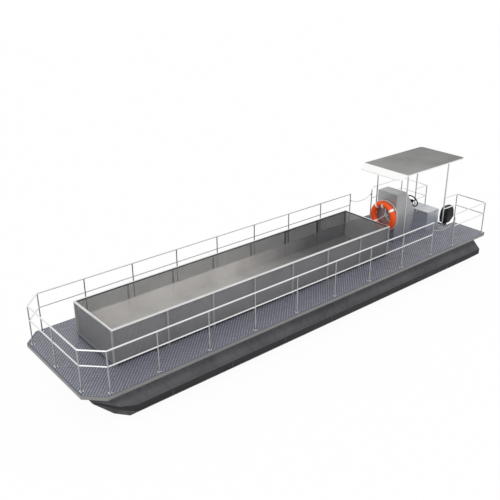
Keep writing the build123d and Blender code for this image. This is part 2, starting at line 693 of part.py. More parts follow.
def lifebuoy_holder():
    """A plate on the console and a stem that carries a flat hoop with three arms, a fork under the ring and
    a hook through it."""
    hoop_x = BUOY_X - BUOY_TUBE_R - COPE - HOLDER_THICKNESS
    outer_r = BUOY_R + BUOY_TUBE_R + HOLDER_BAR / 2
    frame = Circle(outer_r) - Circle(outer_r - HOLDER_BAR) + Circle(HOLDER_HUB_D / 2)
    for angle in HOLDER_ARMS_AT:
        reach = outer_r - HOLDER_BAR / 2
        frame = frame + Rot(0, 0, angle) * Pos(reach / 2, 0) * Rectangle(reach, HOLDER_BAR)
    under = BUOY_R + BUOY_TUBE_R + COPE
    hoop = extrude(Plane(origin=(hoop_x, 0, buoy_z), x_dir=(0, 1, 0), z_dir=(1, 0, 0)) * frame,
                   amount=HOLDER_THICKNESS)
    fork = block(hoop_x, BUOY_X + BUOY_TUBE_R / 2, -HOLDER_FORK_WIDTH / 2, HOLDER_FORK_WIDTH / 2,
                 buoy_z - under - HOLDER_THICKNESS, buoy_z - under)
    plate = rod((CONSOLE_FORE_X, 0, buoy_z), (CONSOLE_FORE_X + HOLDER_THICKNESS, 0, buoy_z), HOLDER_PLATE_D)
    stem = rod((CONSOLE_FORE_X, 0, buoy_z), (hoop_x + HOLDER_THICKNESS / 2, 0, buoy_z), HOLDER_STEM_D)
    hook_z1 = buoy_z + sqrt((BUOY_R - BUOY_TUBE_R) ** 2 - (HOOK_WIDTH / 2) ** 2) - COPE
    hook_z0 = hook_z1 - HOLDER_THICKNESS
    tip_x = BUOY_X + BUOY_TUBE_R + COPE
    hook = block(hoop_x, tip_x + HOLDER_THICKNESS, -HOOK_WIDTH / 2, HOOK_WIDTH / 2, hook_z0, hook_z1)
    tip = block(tip_x, tip_x + HOLDER_THICKNESS, -HOOK_WIDTH / 2, HOOK_WIDTH / 2, hook_z0, hook_z0 + HOOK_TIP)
    return first_solid(hoop + fork + plate + stem + hook + tip)


save("lifebuoy_holder", lifebuoy_holder())

# Outboard motor and what carries it

beam_z1 = on_deck(TRANSOM_BEAM_TOP)
beam_z0 = beam_z1 - TRANSOM_BEAM_HEIGHT
transom_fore = TRANSOM_BEAM_X
transom_aft = TRANSOM_BEAM_X - TRANSOM_THICKNESS
transom_z1 = on_deck(TRANSOM_TOP)
tilt_z = on_deck(TILT_Z)


def transom_beam():
    """A beam between the pontoons' inner sides, forward of the transom board."""
    beam = block(PONTOON_STERN_X, PONTOON_STERN_X + TRANSOM_BEAM_WIDTH, -PONTOON_Y, PONTOON_Y, beam_z0, beam_z1)
    beam = beam - port_pontoon - mirrored(port_pontoon)
    arms = []
    for side in (-1, 1):
        y = side * TRANSOM_WIDTH / 3
        arms.append(block(transom_fore, PONTOON_STERN_X, y - BEAM_WIDTH / 2, y + BEAM_WIDTH / 2, beam_z0, beam_z1))
    return first_solid(min(beam.solids(), key=lambda s: abs(s.center().Y)) + arms[0] + arms[1])


save("transom_beam", transom_beam())
save("transom_board", block(transom_aft, transom_fore, -TRANSOM_WIDTH / 2, TRANSOM_WIDTH / 2,
                            transom_z1 - TRANSOM_HEIGHT, transom_z1))


def tilt_tube(half_length, diameter):
    """A bar along the tilt axis."""
    return rod((TILT_X, -half_length, tilt_z), (TILT_X, half_length, tilt_z), diameter)


def clamp_bracket():
    """Two hooked plates over the board, joined by the tilt pin."""
    arms = []
    for side in (-1, 1):
        y1 = side * CLAMP_HALF_WIDTH
        y0 = y1 - side * CLAMP_ARM
        low, high = min(y0, y1), max(y0, y1)
        plate = block(TILT_X - TILT_TUBE_D, transom_aft, low, high, transom_z1 - CLAMP_DROP,
                      tilt_z + TILT_TUBE_D / 2)
        hook = block(transom_aft, transom_fore + 30, low, high, transom_z1, tilt_z + TILT_TUBE_D / 2)
        tongue = block(transom_fore + 6, transom_fore + 30, low, high, transom_z1 - 110, transom_z1)
        screw = rod((transom_fore, (low + high) / 2, transom_z1 - 80),
                    (transom_fore + 75, (low + high) / 2, transom_z1 - 80), 14)
        arms.append(plate + hook + tongue + screw)
    bracket = arms[0] + arms[1] + tilt_tube(CLAMP_HALF_WIDTH, TILT_PIN_D)
    return first_solid(bracket)


save("clamp_bracket", clamp_bracket())

swivel_half = CLAMP_HALF_WIDTH - CLAMP_ARM - MOVING_GAP
swivel_z1 = tilt_z
swivel_z0 = swivel_z1 - SWIVEL_HEIGHT


def swivel_bracket():
    """A tube on the tilt pin and an upright tube that the leg turns in."""
    tube = tilt_tube(swivel_half, TILT_TUBE_D)
    upright = rod((STEER_X, 0, swivel_z0), (STEER_X, 0, swivel_z1), STEER_PIN_D + 34)
    web = block(STEER_X, TILT_X, -22, 22, swivel_z1 - 60, swivel_z1 - 6)
    body = tube + upright + web
    body = body - rod((STEER_X, 0, swivel_z0 - 1), (STEER_X, 0, swivel_z1 + 1), STEER_PIN_D + 2 * RUNNING_FIT)
    return first_solid(body - tilt_tube(swivel_half + 1, TILT_PIN_D + 2 * RUNNING_FIT))


save("swivel_bracket", swivel_bracket())

cowl_z0 = on_deck(COWL_BOTTOM)
cowl_mid_x = COWL_FRONT_X - COWL_LENGTH / 2
foot_mid_x = COWL_FRONT_X - COWL_EASE - COWL_FOOT_LENGTH / 2
# One row for each section of the cowl: height, length, width, corner radius, middle's shift aft.
# The foot is short, so the cowl's back slopes forward down to it.
COWL_SECTIONS = [
    (0, COWL_FOOT_LENGTH, COWL_WIDTH - 20, 80, cowl_mid_x - foot_mid_x),
    (136, COWL_LENGTH, COWL_WIDTH, 90, 0),
    (330, COWL_LENGTH - 24, COWL_WIDTH - 24, 88, 4),
    (430, COWL_LENGTH - 100, COWL_WIDTH - 80, 70, 14),
    (COWL_HEIGHT, COWL_LENGTH - 200, COWL_WIDTH - 160, 40, 20),
]


def cowl_form(inset):
    """The cowl's outer or inner form."""
    faces = []
    for height, length, width, corner, shift in COWL_SECTIONS:
        z = cowl_z0 + height - (inset if height == COWL_HEIGHT else 0)
        outline = RectangleRounded(length - 2 * inset, width - 2 * inset, corner - inset)
        faces.append(Plane(origin=(cowl_mid_x - shift, 0, z)) * outline)
    return first_solid(loft(faces, ruled=True))


save("motor_cowl", first_solid(cowl_form(0) - cowl_form(COWL_WALL)))
save("powerhead", block(foot_mid_x - POWERHEAD_LENGTH / 2, foot_mid_x + POWERHEAD_LENGTH / 2,
                        -POWERHEAD_WIDTH / 2, POWERHEAD_WIDTH / 2, cowl_z0, cowl_z0 + POWERHEAD_HEIGHT))

plate_z = on_deck(PLATE_Z)
prop_z = on_deck(PROP_Z)
skeg_z = on_deck(SKEG_Z)
leg_mid_x = STEER_X - LEG_SETBACK
leg_low_x = leg_mid_x - LEG_RAKE


def leg_section(x, z, length, width):
    """A round-ended section of the leg."""
    return Plane(origin=(x, 0, z)) * SlotOverall(length, width)


def motor_leg():
    """Tray, leg, cavitation plate, gearcase and skeg in one casting, with the steering pin."""
    tray_low = tilt_z + TILT_TUBE_D / 2 + MOVING_GAP
    tray = prism(Pos(foot_mid_x, 0) * RectangleRounded(COWL_FOOT_LENGTH - 6, COWL_WIDTH - 26, 76), tray_low,
                 cowl_z0 - tray_low)
    low_x = leg_low_x
    leg = first_solid(loft([leg_section(leg_mid_x - 60, tray_low, LEG_LENGTH, LEG_WIDTH + 20),
                            leg_section(low_x - 30, swivel_z0 - 30, LEG_LENGTH, LEG_WIDTH),
                            leg_section(low_x, plate_z, LEG_LENGTH, LEG_WIDTH - 14),
                            leg_section(low_x, prop_z, LEG_LENGTH, LEG_WIDTH - 24)], ruled=True))
    plate = prism(Pos(low_x - 40, 0) * RectangleRounded(PLATE_LENGTH, PLATE_WIDTH, 60), plate_z, 9)
    nose_x = low_x + LEG_LENGTH / 2 + 70
    tail_x = low_x - LEG_LENGTH / 2
    shoulder = (low_x + 20, prop_z + GEARCASE_R)
    nose = (nose_x, prop_z + NOSE_R)
    torpedo = Plane.XZ * make_face([
        Polyline(nose, (nose_x, prop_z), (tail_x, prop_z), (tail_x, prop_z + GEARCASE_R - 6), shoulder),
        ThreePointArc(shoulder, (nose_x - 38, prop_z + GEARCASE_R * 0.72), nose)])
    gearcase = revolve(torpedo, axis=Axis((0, 0, prop_z), (1, 0, 0)), revolution_arc=360)
    skeg = extrude(Plane.XZ * make_face(Polyline(
        (low_x + 60, prop_z), (low_x - 20, skeg_z), (low_x - 70, skeg_z), (low_x - 70, prop_z), close=True)),
        amount=7, both=True)
    pin = rod((STEER_X, 0, swivel_z0 - 40), (STEER_X, 0, tray_low + 1), STEER_PIN_D)
    foot = block(leg_mid_x - 60, STEER_X + STEER_PIN_D / 2, -LEG_WIDTH / 2, LEG_WIDTH / 2,
                 swivel_z0 - 40, swivel_z0 - MOVING_GAP)
    shaft = rod((tail_x + 1, 0, prop_z), (tail_x - PROP_HUB_LENGTH, 0, prop_z), PROP_SHAFT_D)
    return first_solid(tray + leg + plate + gearcase + skeg + pin + foot + shaft)


save("motor_leg", motor_leg())

prop_front_x = leg_low_x - LEG_LENGTH / 2 - COPE
prop_mid_x = prop_front_x - PROP_HUB_LENGTH / 2
# One row for each section of a blade: radius, chord, thickness, pitch angle
BLADE_SECTIONS = [(PROP_HUB_R - 6, 62, 9, 58), (62, 92, 6, 38), (PROP_R, 46, 3, 25)]


def propeller():
    """A hub with three twisted blades."""
    hub = rod((prop_front_x, 0, prop_z), (prop_front_x - PROP_HUB_LENGTH, 0, prop_z), 2 * PROP_HUB_R)
    faces = []
    for radius, chord, thickness, pitch in BLADE_SECTIONS:
        lean = radians(pitch)
        chord_dir = (-sin(lean), cos(lean), 0)
        plane = Plane(origin=(prop_mid_x, 0, prop_z + radius), x_dir=chord_dir, z_dir=(0, 0, 1))
        faces.append(plane * SlotOverall(chord, thickness))
    blade = first_solid(loft(faces, ruled=True))
    prop = hub
    axis = Axis((0, 0, prop_z), (1, 0, 0))
    for i in range(PROP_BLADES):
        prop = prop + blade.rotate(axis, i * 360 / PROP_BLADES)
    bore = rod((prop_front_x + 1, 0, prop_z), (prop_front_x - PROP_HUB_LENGTH - 1, 0, prop_z),
               PROP_SHAFT_D + 2 * RUNNING_FIT)
    return first_solid(prop - bore)


save("propeller", propeller())
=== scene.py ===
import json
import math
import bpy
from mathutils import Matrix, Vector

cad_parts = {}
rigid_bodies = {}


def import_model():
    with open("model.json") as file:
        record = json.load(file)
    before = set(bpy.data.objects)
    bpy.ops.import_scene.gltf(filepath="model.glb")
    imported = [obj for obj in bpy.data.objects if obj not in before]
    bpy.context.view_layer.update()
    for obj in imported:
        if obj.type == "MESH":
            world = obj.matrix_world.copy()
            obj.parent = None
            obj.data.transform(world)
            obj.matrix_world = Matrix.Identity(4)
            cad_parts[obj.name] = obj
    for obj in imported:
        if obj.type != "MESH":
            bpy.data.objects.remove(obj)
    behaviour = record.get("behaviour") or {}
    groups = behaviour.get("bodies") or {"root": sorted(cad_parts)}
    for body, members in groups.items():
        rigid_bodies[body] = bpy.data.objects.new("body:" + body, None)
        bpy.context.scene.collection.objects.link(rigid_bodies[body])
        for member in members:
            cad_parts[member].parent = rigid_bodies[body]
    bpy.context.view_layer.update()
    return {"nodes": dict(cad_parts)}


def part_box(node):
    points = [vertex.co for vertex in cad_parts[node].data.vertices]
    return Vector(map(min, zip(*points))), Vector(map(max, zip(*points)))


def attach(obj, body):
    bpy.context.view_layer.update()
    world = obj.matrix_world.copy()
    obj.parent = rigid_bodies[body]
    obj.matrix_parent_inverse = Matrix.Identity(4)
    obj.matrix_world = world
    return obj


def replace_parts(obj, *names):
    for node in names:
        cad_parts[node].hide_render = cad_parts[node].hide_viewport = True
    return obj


bl_info = {
    "name": "Pontoon work boat",
    "version": (1, 0, 0),
    "blender": (4, 5, 0),
    "location": "3D View > Sidebar > Work boat",
    "description": "Dresses the packed pontoon work boat with its materials, wire mesh, tread plate and fittings",
    "category": "Object",
}

from functools import partialmethod

import bmesh
import bpy
from bpy.props import FloatProperty, FloatVectorProperty, IntProperty, PointerProperty
from mathutils import Matrix, Vector

for startup_object in list(bpy.data.objects):
    bpy.data.objects.remove(startup_object)
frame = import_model()

# Places on the boat, in metres. The sources' own lengths count from the deck's stern edge and from its top.
deck_low, deck_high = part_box("deck_edge_band")
STERN_X, BOW_X, DECK_Z, HALF_BEAM = deck_low.x, deck_high.x, deck_high.z, deck_high.y
RAIL_Y = 1.45
FOOT_THICKNESS = 0.008

# How fine the brushed lines are along X, Y and Z
RAIL_GRAIN = (2.0, 60.0, 60.0)
POST_GRAIN = (60.0, 60.0, 3.0)
FOOT_GRAIN = (25.0, 25.0, 25.0)
SMALL_GRAIN = (30.0, 30.0, 30.0)


def at(x, y, z):
    """A point given from the deck's stern edge, the centreline and the deck's top."""
    return Vector((STERN_X + x, y, DECK_Z + z))


# Settings of the sidebar panel


def colour(name, description, default):
    """A colour property in linear light."""
    return FloatVectorProperty(name=name, description=description, default=default, subtype="COLOR",
                               size=3, min=0.0, max=1.0)


def length(name, description, default):
    """A length property in metres."""
    return FloatProperty(name=name, description=description, default=default, unit="LENGTH", subtype="DISTANCE",
                         min=0.0)


class DeckSettings(bpy.types.PropertyGroup):
    plate: colour("Plate", "Paint of the tread plate", (0.110, 0.114, 0.149))
    # The lugs' light colour is partly wear and partly painted sheen; the lug material gives it in full only to lugs
    # facing one diagonal way.
    lug: colour("Lugs", "Worn paint on the raised lugs", (0.54, 0.55, 0.62))
    band: colour("Edge band", "Paint of the band round the deck", (0.200, 0.200, 0.198))
    pontoon: colour("Pontoons", "Paint of the two pontoons", (0.040, 0.040, 0.043))
    lug_pitch: length("Lug pitch", "Distance between neighbouring lugs", 0.0385)
    lug_length: length("Lug length", "Length of one lug", 0.040)
    lug_width: length("Lug width", "Width of one lug at its foot", 0.016)
    lug_height: length("Lug height", "Height of one lug", 0.003)
    margin: length("Plain margin", "Plain strip between the lugs and the deck's edge", 0.045)


class RailSettings(bpy.types.PropertyGroup):
    rail: colour("Rails", "Bright steel of the rails", (0.84, 0.84, 0.84))
    post: colour("Posts", "Steel of the posts", (0.42, 0.42, 0.42))
    flange: colour("Flanges", "Steel of the feet", (0.34, 0.34, 0.35))
    # Near white: a painted highlight standing in for the bolts' glints.
    bolt: colour("Bolts", "Bright steel of the bolts in the feet", (0.95, 0.95, 0.95))
    rope: colour("Ropes", "Fibre of the gangway ropes", (0.66, 0.65, 0.61))
    bolt_circle: length("Bolt circle", "Radius of the bolts round a foot", 0.0305)
    bolt_radius: length("Bolt head", "Radius of a bolt head", 0.0085)


class HopperSettings(bpy.types.PropertyGroup):
    # The inside colours are painted light: inside faces are lighter than the outside, lighter still below the band's
    # top, and painted shade near the stern.
    wire: colour("Outside", "Flat wire of the walls, seen from outside", (0.175, 0.177, 0.190))
    dull: colour("Inside, upper part", "Wire over the load line", (0.250, 0.247, 0.241))
    # A painted lighter band on the inside below the band's top.
    lower_painted_light: colour("Inside, lower part", "Wire that the load rubs bright", (0.78, 0.745, 0.715))
    # The two stern colours are painted shade.
    stern: colour("Inside, stern part", "Wire and floor near the stern, where little is loaded", (0.135, 0.135, 0.138))
    stern_dull: colour("Inside, stern's upper part", "Wire over the load line near the stern", (0.016, 0.016, 0.017))
    floor: colour("Floor", "Sheet of the floor", (0.48, 0.470, 0.450))
    frame: colour("Frame", "Paint of the hopper's frame", (0.30, 0.30, 0.30))
    rim: colour("Rim", "Bright steel of the rim", (0.84, 0.84, 0.84))
    # The top of the painted lighter band inside the walls.
    light_band_top: length("Load line", "Height over the deck up to which the load rubs the walls", 0.47)
    pitch: length("Wire pitch", "Distance between neighbouring wires", 0.027)
    wire_width: length("Wire width", "Width of a flat wire", 0.0195)


class CanopySettings(bpy.types.PropertyGroup):
    top: colour("Top", "Paint of the flat top", (0.200, 0.199, 0.192))
    # The white on the visor is partly a painted reflection.
    trim: colour("Trim", "Paint of the edges and the visor", (0.88, 0.88, 0.87))
    post: colour("Posts", "Steel of the canopy's posts", (0.62, 0.62, 0.61))
    rivet_pitch: length("Rivet pitch", "Distance between the rivets along the edges", 0.15)
    rivet_radius: length("Rivet radius", "Radius of a rivet's head", 0.006)


class HelmSettings(bpy.types.PropertyGroup):
    steel: colour("Console", "Brushed sheet of the console", (0.40, 0.405, 0.415))
    seat: colour("Seat box", "Brushed sheet of the seat box", (0.50, 0.51, 0.55))
    dark: colour("Dark parts", "Wheel, column and control parts", (0.012, 0.012, 0.012))
    dial: colour("Dials", "Faces of the gauges", (0.82, 0.82, 0.80))
    gauge_radius: length("Gauge radius", "Radius of the gauges on the dash", 0.042)


class LifebuoySettings(bpy.types.PropertyGroup):
    shell: colour("Shell", "Colour of the ring", (0.86, 0.088, 0.008))
    band: colour("Bands", "Colour of the four bands", (0.86, 0.86, 0.85))
    holder: colour("Holder", "Paint of the holder", (0.62, 0.62, 0.62))


class MotorSettings(bpy.types.PropertyGroup):
    cowl: colour("Cowl", "Colour of the cowl", (0.013, 0.013, 0.0135))
    casting: colour("Castings", "Paint of the leg and brackets", (0.021, 0.021, 0.022))
    propeller: colour("Propeller", "Paint of the propeller", (0.052, 0.052, 0.055))
    louvre_count: IntProperty(name="Louvres", description="Louvres in the cowl's air intake", default=6, min=1)


class StageSettings(bpy.types.PropertyGroup):
    backdrop: colour("Backdrop", "Colour of floor and backdrop", (1.0, 1.0, 1.0))
    sky: FloatProperty(name="Sky", description="Strength of the even light", default=0.62, min=0.0)
    key: FloatProperty(name="Key", description="Strength of the key lamp", default=1.10, min=0.0)
    fill: FloatProperty(name="Fill", description="Strength of the low lamp before the bow", default=0.75, min=0.0)
    lens: FloatProperty(name="Lens", description="The camera's lens in millimetres", default=49.93, min=1.0)


# Node trees


class Field:
    """A node's output that sums, products and comparisons can be written with."""

    def __init__(self, socket):
        self.socket, self.tree = socket, socket.id_data

    def math(self, operation, *others):
        return add(self.tree, "ShaderNodeMath", dict(enumerate((self, *others))), operation=operation)["Value"]

    def remap(self, low, high, to_low=0.0, to_high=1.0):
        """The value stretched from one range to another and clamped."""
        return add(self.tree, "ShaderNodeMapRange", {"Value": self, "From Min": low, "From Max": high,
                                                     "To Min": to_low, "To Max": to_high})["Result"]

    def mix(self, a, b):
        """Two colours mixed by the value. The node's colours are its inputs 6 and 7 and its output 2."""
        return add(self.tree, "ShaderNodeMix", {0: self, 6: a, 7: b}, data_type="RGBA")[2]

    __add__ = partialmethod(math, "ADD")
    __sub__ = partialmethod(math, "SUBTRACT")
    __mul__ = partialmethod(math, "MULTIPLY")
    __truediv__ = partialmethod(math, "DIVIDE")
    __gt__ = partialmethod(math, "GREATER_THAN")
    __lt__ = partialmethod(math, "LESS_THAN")


def put(value, socket):
    """Gives a socket a plain value, or a link from another node."""
    if isinstance(value, Field):
        value = value.socket
    if isinstance(value, bpy.types.NodeSocket):
        socket.id_data.links.new(value, socket)
    else:
        socket.default_value = value


def add(tree, kind, inputs=(), **settings):
    """A new node with its settings and inputs. Gives its outputs, by name and by number."""
    node = tree.nodes.new(kind)
    for name, value in settings.items():
        setattr(node, name, value)
    for key, value in dict(inputs).items():
        put(value, node.inputs[key])
    outputs = [Field(socket) for socket in node.outputs]
    return {field.socket.name: field for field in reversed(outputs)} | dict(enumerate(outputs))


def socket_kind(value):
    """The kind of socket for a default value. A word names the kind itself."""
    if isinstance(value, str):
        return value
    if isinstance(value, tuple):
        return "Color" if len(value) == 4 else "Vector"
    return "Int" if isinstance(value, int) else "Float"


def new_tree(kind, name, inputs, outputs):
    """A node tree with named sockets, what it is given and the sockets of its result."""
    tree = bpy.data.node_groups.new(name, kind)
    for side, sockets in (("INPUT", inputs), ("OUTPUT", outputs)):
        for label, value in sockets.items():
            socket = tree.interface.new_socket(label, in_out=side, socket_type="NodeSocket" + socket_kind(value))
            if not isinstance(value, str):
                socket.default_value = value
    return tree, add(tree, "NodeGroupInput"), tree.nodes.new("NodeGroupOutput").inputs


def xyz(tree, x=0.0, y=0.0, z=0.0):
    """A vector from three values."""
    return add(tree, "ShaderNodeCombineXYZ", {0: x, 1: y, 2: z})["Vector"]


# Shader node groups and materials


def noise(tree, vector, scale, detail):
    """A noise texture that reads a vector."""
    return add(tree, "ShaderNodeTexNoise",
               {"Vector": vector, "Scale": scale, "Detail": detail, "Roughness": 0.55})["Fac"]


def coordinate(tree, kind="Object"):
    """One of the surface's own coordinates."""
    return add(tree, "ShaderNodeTexCoord")[kind]


def parted(tree, kind="Object"):
    """X, Y and Z of one of the surface's own coordinates."""
    return add(tree, "ShaderNodeSeparateXYZ", {0: coordinate(tree, kind)})


def facing_and_place(material):
    """X, Y and Z of the surface's normal, and of its place."""
    return parted(material.node_tree, "Normal"), parted(material.node_tree)


def weathering_group():
    """Paint that is a little cloudy, with stains in patches and dust specks."""
    tree, given, result = new_tree(
        "ShaderNodeTree", "Weathering",
        {"Colour": (0.5, 0.5, 0.5, 1), "Stain": (0.2, 0.2, 0.2, 1), "Scale": 1.0, "Amount": 0.3},
        {"Colour": "Color", "Mask": "Float", "Height": "Float"})
    place = coordinate(tree)
    patch = noise(tree, place, given["Scale"], 5.0).remap(0.42, 0.72)
    speck = noise(tree, place, 95.0, 3.0).remap(0.60, 0.72)
    stain = (patch + speck * 0.35) * given["Amount"]
    put(stain.mix(given["Colour"], given["Stain"]), result["Colour"])
    put(patch, result["Mask"])
    put(noise(tree, place, 240.0, 2.0), result["Height"])


def streaks_group():
    """Fine lines along one direction, as brushing or running water leaves them."""
    tree, given, result = new_tree("ShaderNodeTree", "Streaks", {"Stretch": (1, 1, 1)},
                                   {"Mask": "Float", "Height": "Float"})
    place = add(tree, "ShaderNodeVectorMath", {0: coordinate(tree), 1: given["Stretch"]},
                operation="MULTIPLY")["Vector"]
    put(noise(tree, place, 1.0, 4.0).remap(0.35, 0.68), result["Mask"])
    put(noise(tree, place, 3.1, 2.0), result["Height"])


def hopper_light_group():
    """Painted light on the hopper's steel: one colour outside, lighter colours inside with a painted lighter band up to
    a line, and painted shade the further aft.
    """
    grey = (0.2, 0.2, 0.2, 1)
    tree, given, result = new_tree(
        "ShaderNodeTree", "Load wear",
        {"Outside": grey, "Above": grey, "Below": grey, "Stern Above": grey, "Stern Below": grey,
         "Inward": (0, 0, 1), "Line": 1.4, "Aft": -2.5, "Fore": 3.0},
        {"Colour": "Color"})
    where = parted(tree)
    waver = noise(tree, coordinate(tree), 2.2, 3.0).remap(0.3, 0.7, -0.006, 0.006)
    # A painted lighter band below the line.
    below = (where["Z"] + waver - given["Line"]).remap(0.02, -0.02)
    fore = below.mix(given["Above"], given["Below"])
    stern = below.mix(given["Stern Above"], given["Stern Below"])
    # Painted shade: darker from Fore towards Aft.
    along = (where["X"] - given["Aft"]) / (given["Fore"] - given["Aft"])
    inside = along.remap(0.0, 1.0).mix(stern, fore)
    # Painted light: faces turned inward get the inside colours, lighter than the outside.
    facing = add(tree, "ShaderNodeVectorMath", {0: coordinate(tree, "Normal"), 1: given["Inward"]},
                 operation="DOT_PRODUCT")["Value"]
    put(facing.remap(-0.02, 0.02).mix(given["Outside"], inside), result["Colour"])


def grouped(tree, name, inputs):
    """A shader group placed in a material."""
    return add(tree, "ShaderNodeGroup", inputs, node_tree=bpy.data.node_groups[name])


def weathered(tree, paint, stain, scale, amount):
    """A colour with stains on it."""
    return grouped(tree, "Weathering", {"Colour": paint, "Stain": stain, "Scale": scale, "Amount": amount})


def new_material(name, metallic=0.0, gloss=0.5):
    """A material with a bare Principled shader."""
    material = bpy.data.materials.new(name)
    material.use_nodes = True
    inputs = material.node_tree.nodes["Principled BSDF"].inputs
    inputs["Metallic"].default_value = metallic
    inputs["Specular IOR Level"].default_value = gloss
    return material, material.node_tree


def finish(material, paint, mask, rough, height, bump, depth=0.002):
    """Gives a material's shader its colour, bump and roughness: a range over a mask, or one value without it."""
    tree = material.node_tree
    inputs = tree.nodes["Principled BSDF"].inputs
    put(paint, inputs["Base Color"])
    put(rough if mask is None else mask.remap(0.0, 1.0, *rough), inputs["Roughness"])
    normal = add(tree, "ShaderNodeBump", {"Strength": bump, "Distance": depth, "Height": height})
    put(normal["Normal"], inputs["Normal"])
    return material


def rgba(value, factor=1.0):
    """A property's colour with alpha, made lighter or darker by a factor."""
    return tuple(min(1.0, c * factor) for c in value) + (1.0,)


def painted(name, paint, stain=0.55, amount=0.35, scale=1.3, rough=(0.38, 0.60), bump=0.12, depth=0.002, gloss=0.5):
    """Paint on metal, cloudy and a little stained."""
    material, tree = new_material(name, gloss=gloss)
    worn = weathered(tree, rgba(paint), rgba(paint, stain), scale, amount)
    return finish(material, worn["Colour"], worn["Mask"], rough, worn["Height"], bump, depth)


def moulded(name, shell, rough, stain=0.80, scale=14.0, bump=0.10, gloss=0.5):
    """Moulded plastic with a faint grain."""
    return painted(name, shell, stain, 0.45, scale, rough, bump, 0.001, gloss)


def brushed(name, steel, stretch, rough=(0.22, 0.36), bump=0.05, tint=0.80, metallic=1.0):
    """Bare or coated steel with fine lines along one direction and soft clouds."""
    material, tree = new_material(name, metallic)
    worn = weathered(tree, rgba(steel), rgba(steel, tint), 1.1, 0.55)
    lines = grouped(tree, "Streaks", {"Stretch": stretch})
    fade = lines["Mask"].remap(0.0, 1.0, 0.0, 0.35)
    return finish(material, fade.mix(worn["Colour"], rgba(steel, tint * 0.9)), lines["Mask"], rough, lines["Height"],
                  bump, 0.0006)


def loaded(name, outside, above, below, stern_above, stern_below, inward, line, rough=(0.36, 0.55)):
    """Steel of the hopper with a few stains and painted light: lighter inside than outside, a painted lighter band low
    down and painted shade towards the stern.
    """
    material, tree = new_material(name, 0.1)
    stern_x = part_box("hopper_floor")[0].x
    # Aft and Fore bound the painted shade towards the stern.
    wear = grouped(tree, "Load wear", {
        "Outside": rgba(outside), "Above": rgba(above), "Below": rgba(below), "Stern Above": rgba(stern_above),
        "Stern Below": rgba(stern_below), "Inward": inward, "Line": line, "Aft": stern_x + 1.4, "Fore": stern_x + 4.1})
    worn = weathered(tree, wear["Colour"], (0.06, 0.06, 0.06, 1), 1.6, 0.22)
    return finish(material, worn["Colour"], worn["Mask"], rough, worn["Height"], 0.15, 0.001)


def lug_material(paint):
    """Worn paint on the lugs, with a painted sheen: lugs facing one diagonal way get the full colour, the others about
    a third of it.
    """
    material, tree = new_material("worn lug", 0.25)
    facing = parted(tree, "Normal")
    # Painted sheen and shade: the full colour where a face's X and Y normals differ in sign, a third of it elsewhere.
    across = (facing["X"] * facing["Y"]).remap(0.004, -0.004)
    worn = weathered(tree, across.mix(rgba(paint, 0.34), rgba(paint)), rgba(paint, 0.30), 5.0, 0.30)
    return finish(material, worn["Colour"], worn["Mask"], (0.26, 0.45), worn["Height"], 0.15)


def shade_base(material, shade):
    """Multiplies a material's finished base colour by another."""
    tree = material.node_tree
    base = tree.nodes["Principled BSDF"].inputs["Base Color"]
    put(add(tree, "ShaderNodeMix", {0: 1.0, 6: base.links[0].from_socket, 7: shade}, data_type="RGBA",
            blend_type="MULTIPLY")[2], base)
    return material


def sheet_material(name, steel, foot_shade):
    """Brushed sheet with painted light: its level tops are painted brighter, and its sides darker and bluer towards the
    deck, a painted shade with the deck's reflection in it.
    """
    material = brushed(name, steel, (4.0, 4.0, 90.0), rough=(0.17, 0.27), bump=0.02, tint=0.82, metallic=0.45)
    facing, place = facing_and_place(material)
    # Painted shade with the deck's reflection: the sides darken and turn bluer towards the deck, down to the given
    # colour.
    side = place["Z"].remap(DECK_Z + 0.55, DECK_Z).mix((1, 1, 1, 1), foot_shade)
    # Painted light: level tops are a quarter brighter.
    return shade_base(material, facing["Z"].remap(0.80, 0.95).mix(side, (1.25, 1.25, 1.22, 1)))


def rim_material(name, steel, stretch, axis, middle):
    """Rim steel, bright outside, with painted shade on its inner faces."""
    material = brushed(name, steel, stretch, tint=0.85)
    facing, place = facing_and_place(material)
    # Painted shade: faces turned towards the hopper's middle get a tenth of the colour.
    outward = (facing[axis] * (place[axis] - middle)).remap(-0.3, 0.05)
    return shade_base(material, outward.mix((0.10, 0.10, 0.10, 1), (1, 1, 1, 1)))


def pontoon_material(paint):
    """Dark hull paint with run marks and a dull belt at the water line, and painted light: the upper slopes are painted
    lighter towards the deck, a painted highlight runs along the chine, and faces turned down get painted shade.
    """
    material, tree = new_material("hull paint", gloss=0.08)
    facing, place = facing_and_place(material)
    # Painted shade: upright sides get four fifths of the paint's colour, faces turned down three tenths.
    sides = facing["Z"].remap(-0.2, -0.6).mix(rgba(paint, 0.80), rgba(paint, 0.30))
    # Painted light: the upward faces are painted two to five times lighter, most near the deck's overhang.
    lit_slope = place["Z"].remap(0.45, 0.66).mix(rgba(paint, 2.2), rgba(paint, 5.6))
    # A painted highlight along the chine.
    chine_highlight = place["Z"].remap(0.465, 0.455).mix(lit_slope, rgba(paint, 2.6))
    bare = facing["Z"].remap(0.2, 0.6).mix(sides, chine_highlight)
    worn = weathered(tree, bare, rgba(paint, 1.10), 0.9, 0.45)
    runs = grouped(tree, "Streaks", {"Stretch": (9.0, 9.0, 0.7)})
    faded = (runs["Mask"].remap(0.45, 1.0) * 0.30).mix(worn["Colour"], rgba(paint, 1.4))
    ripple = place["Z"] + worn["Mask"].remap(0.0, 1.0, -0.03, 0.03)
    belted = (ripple.remap(0.34, 0.27) * 0.55).mix(faded, rgba(paint, 0.40))
    return finish(material, belted, runs["Mask"], (0.44, 0.62), worn["Height"], 0.10)


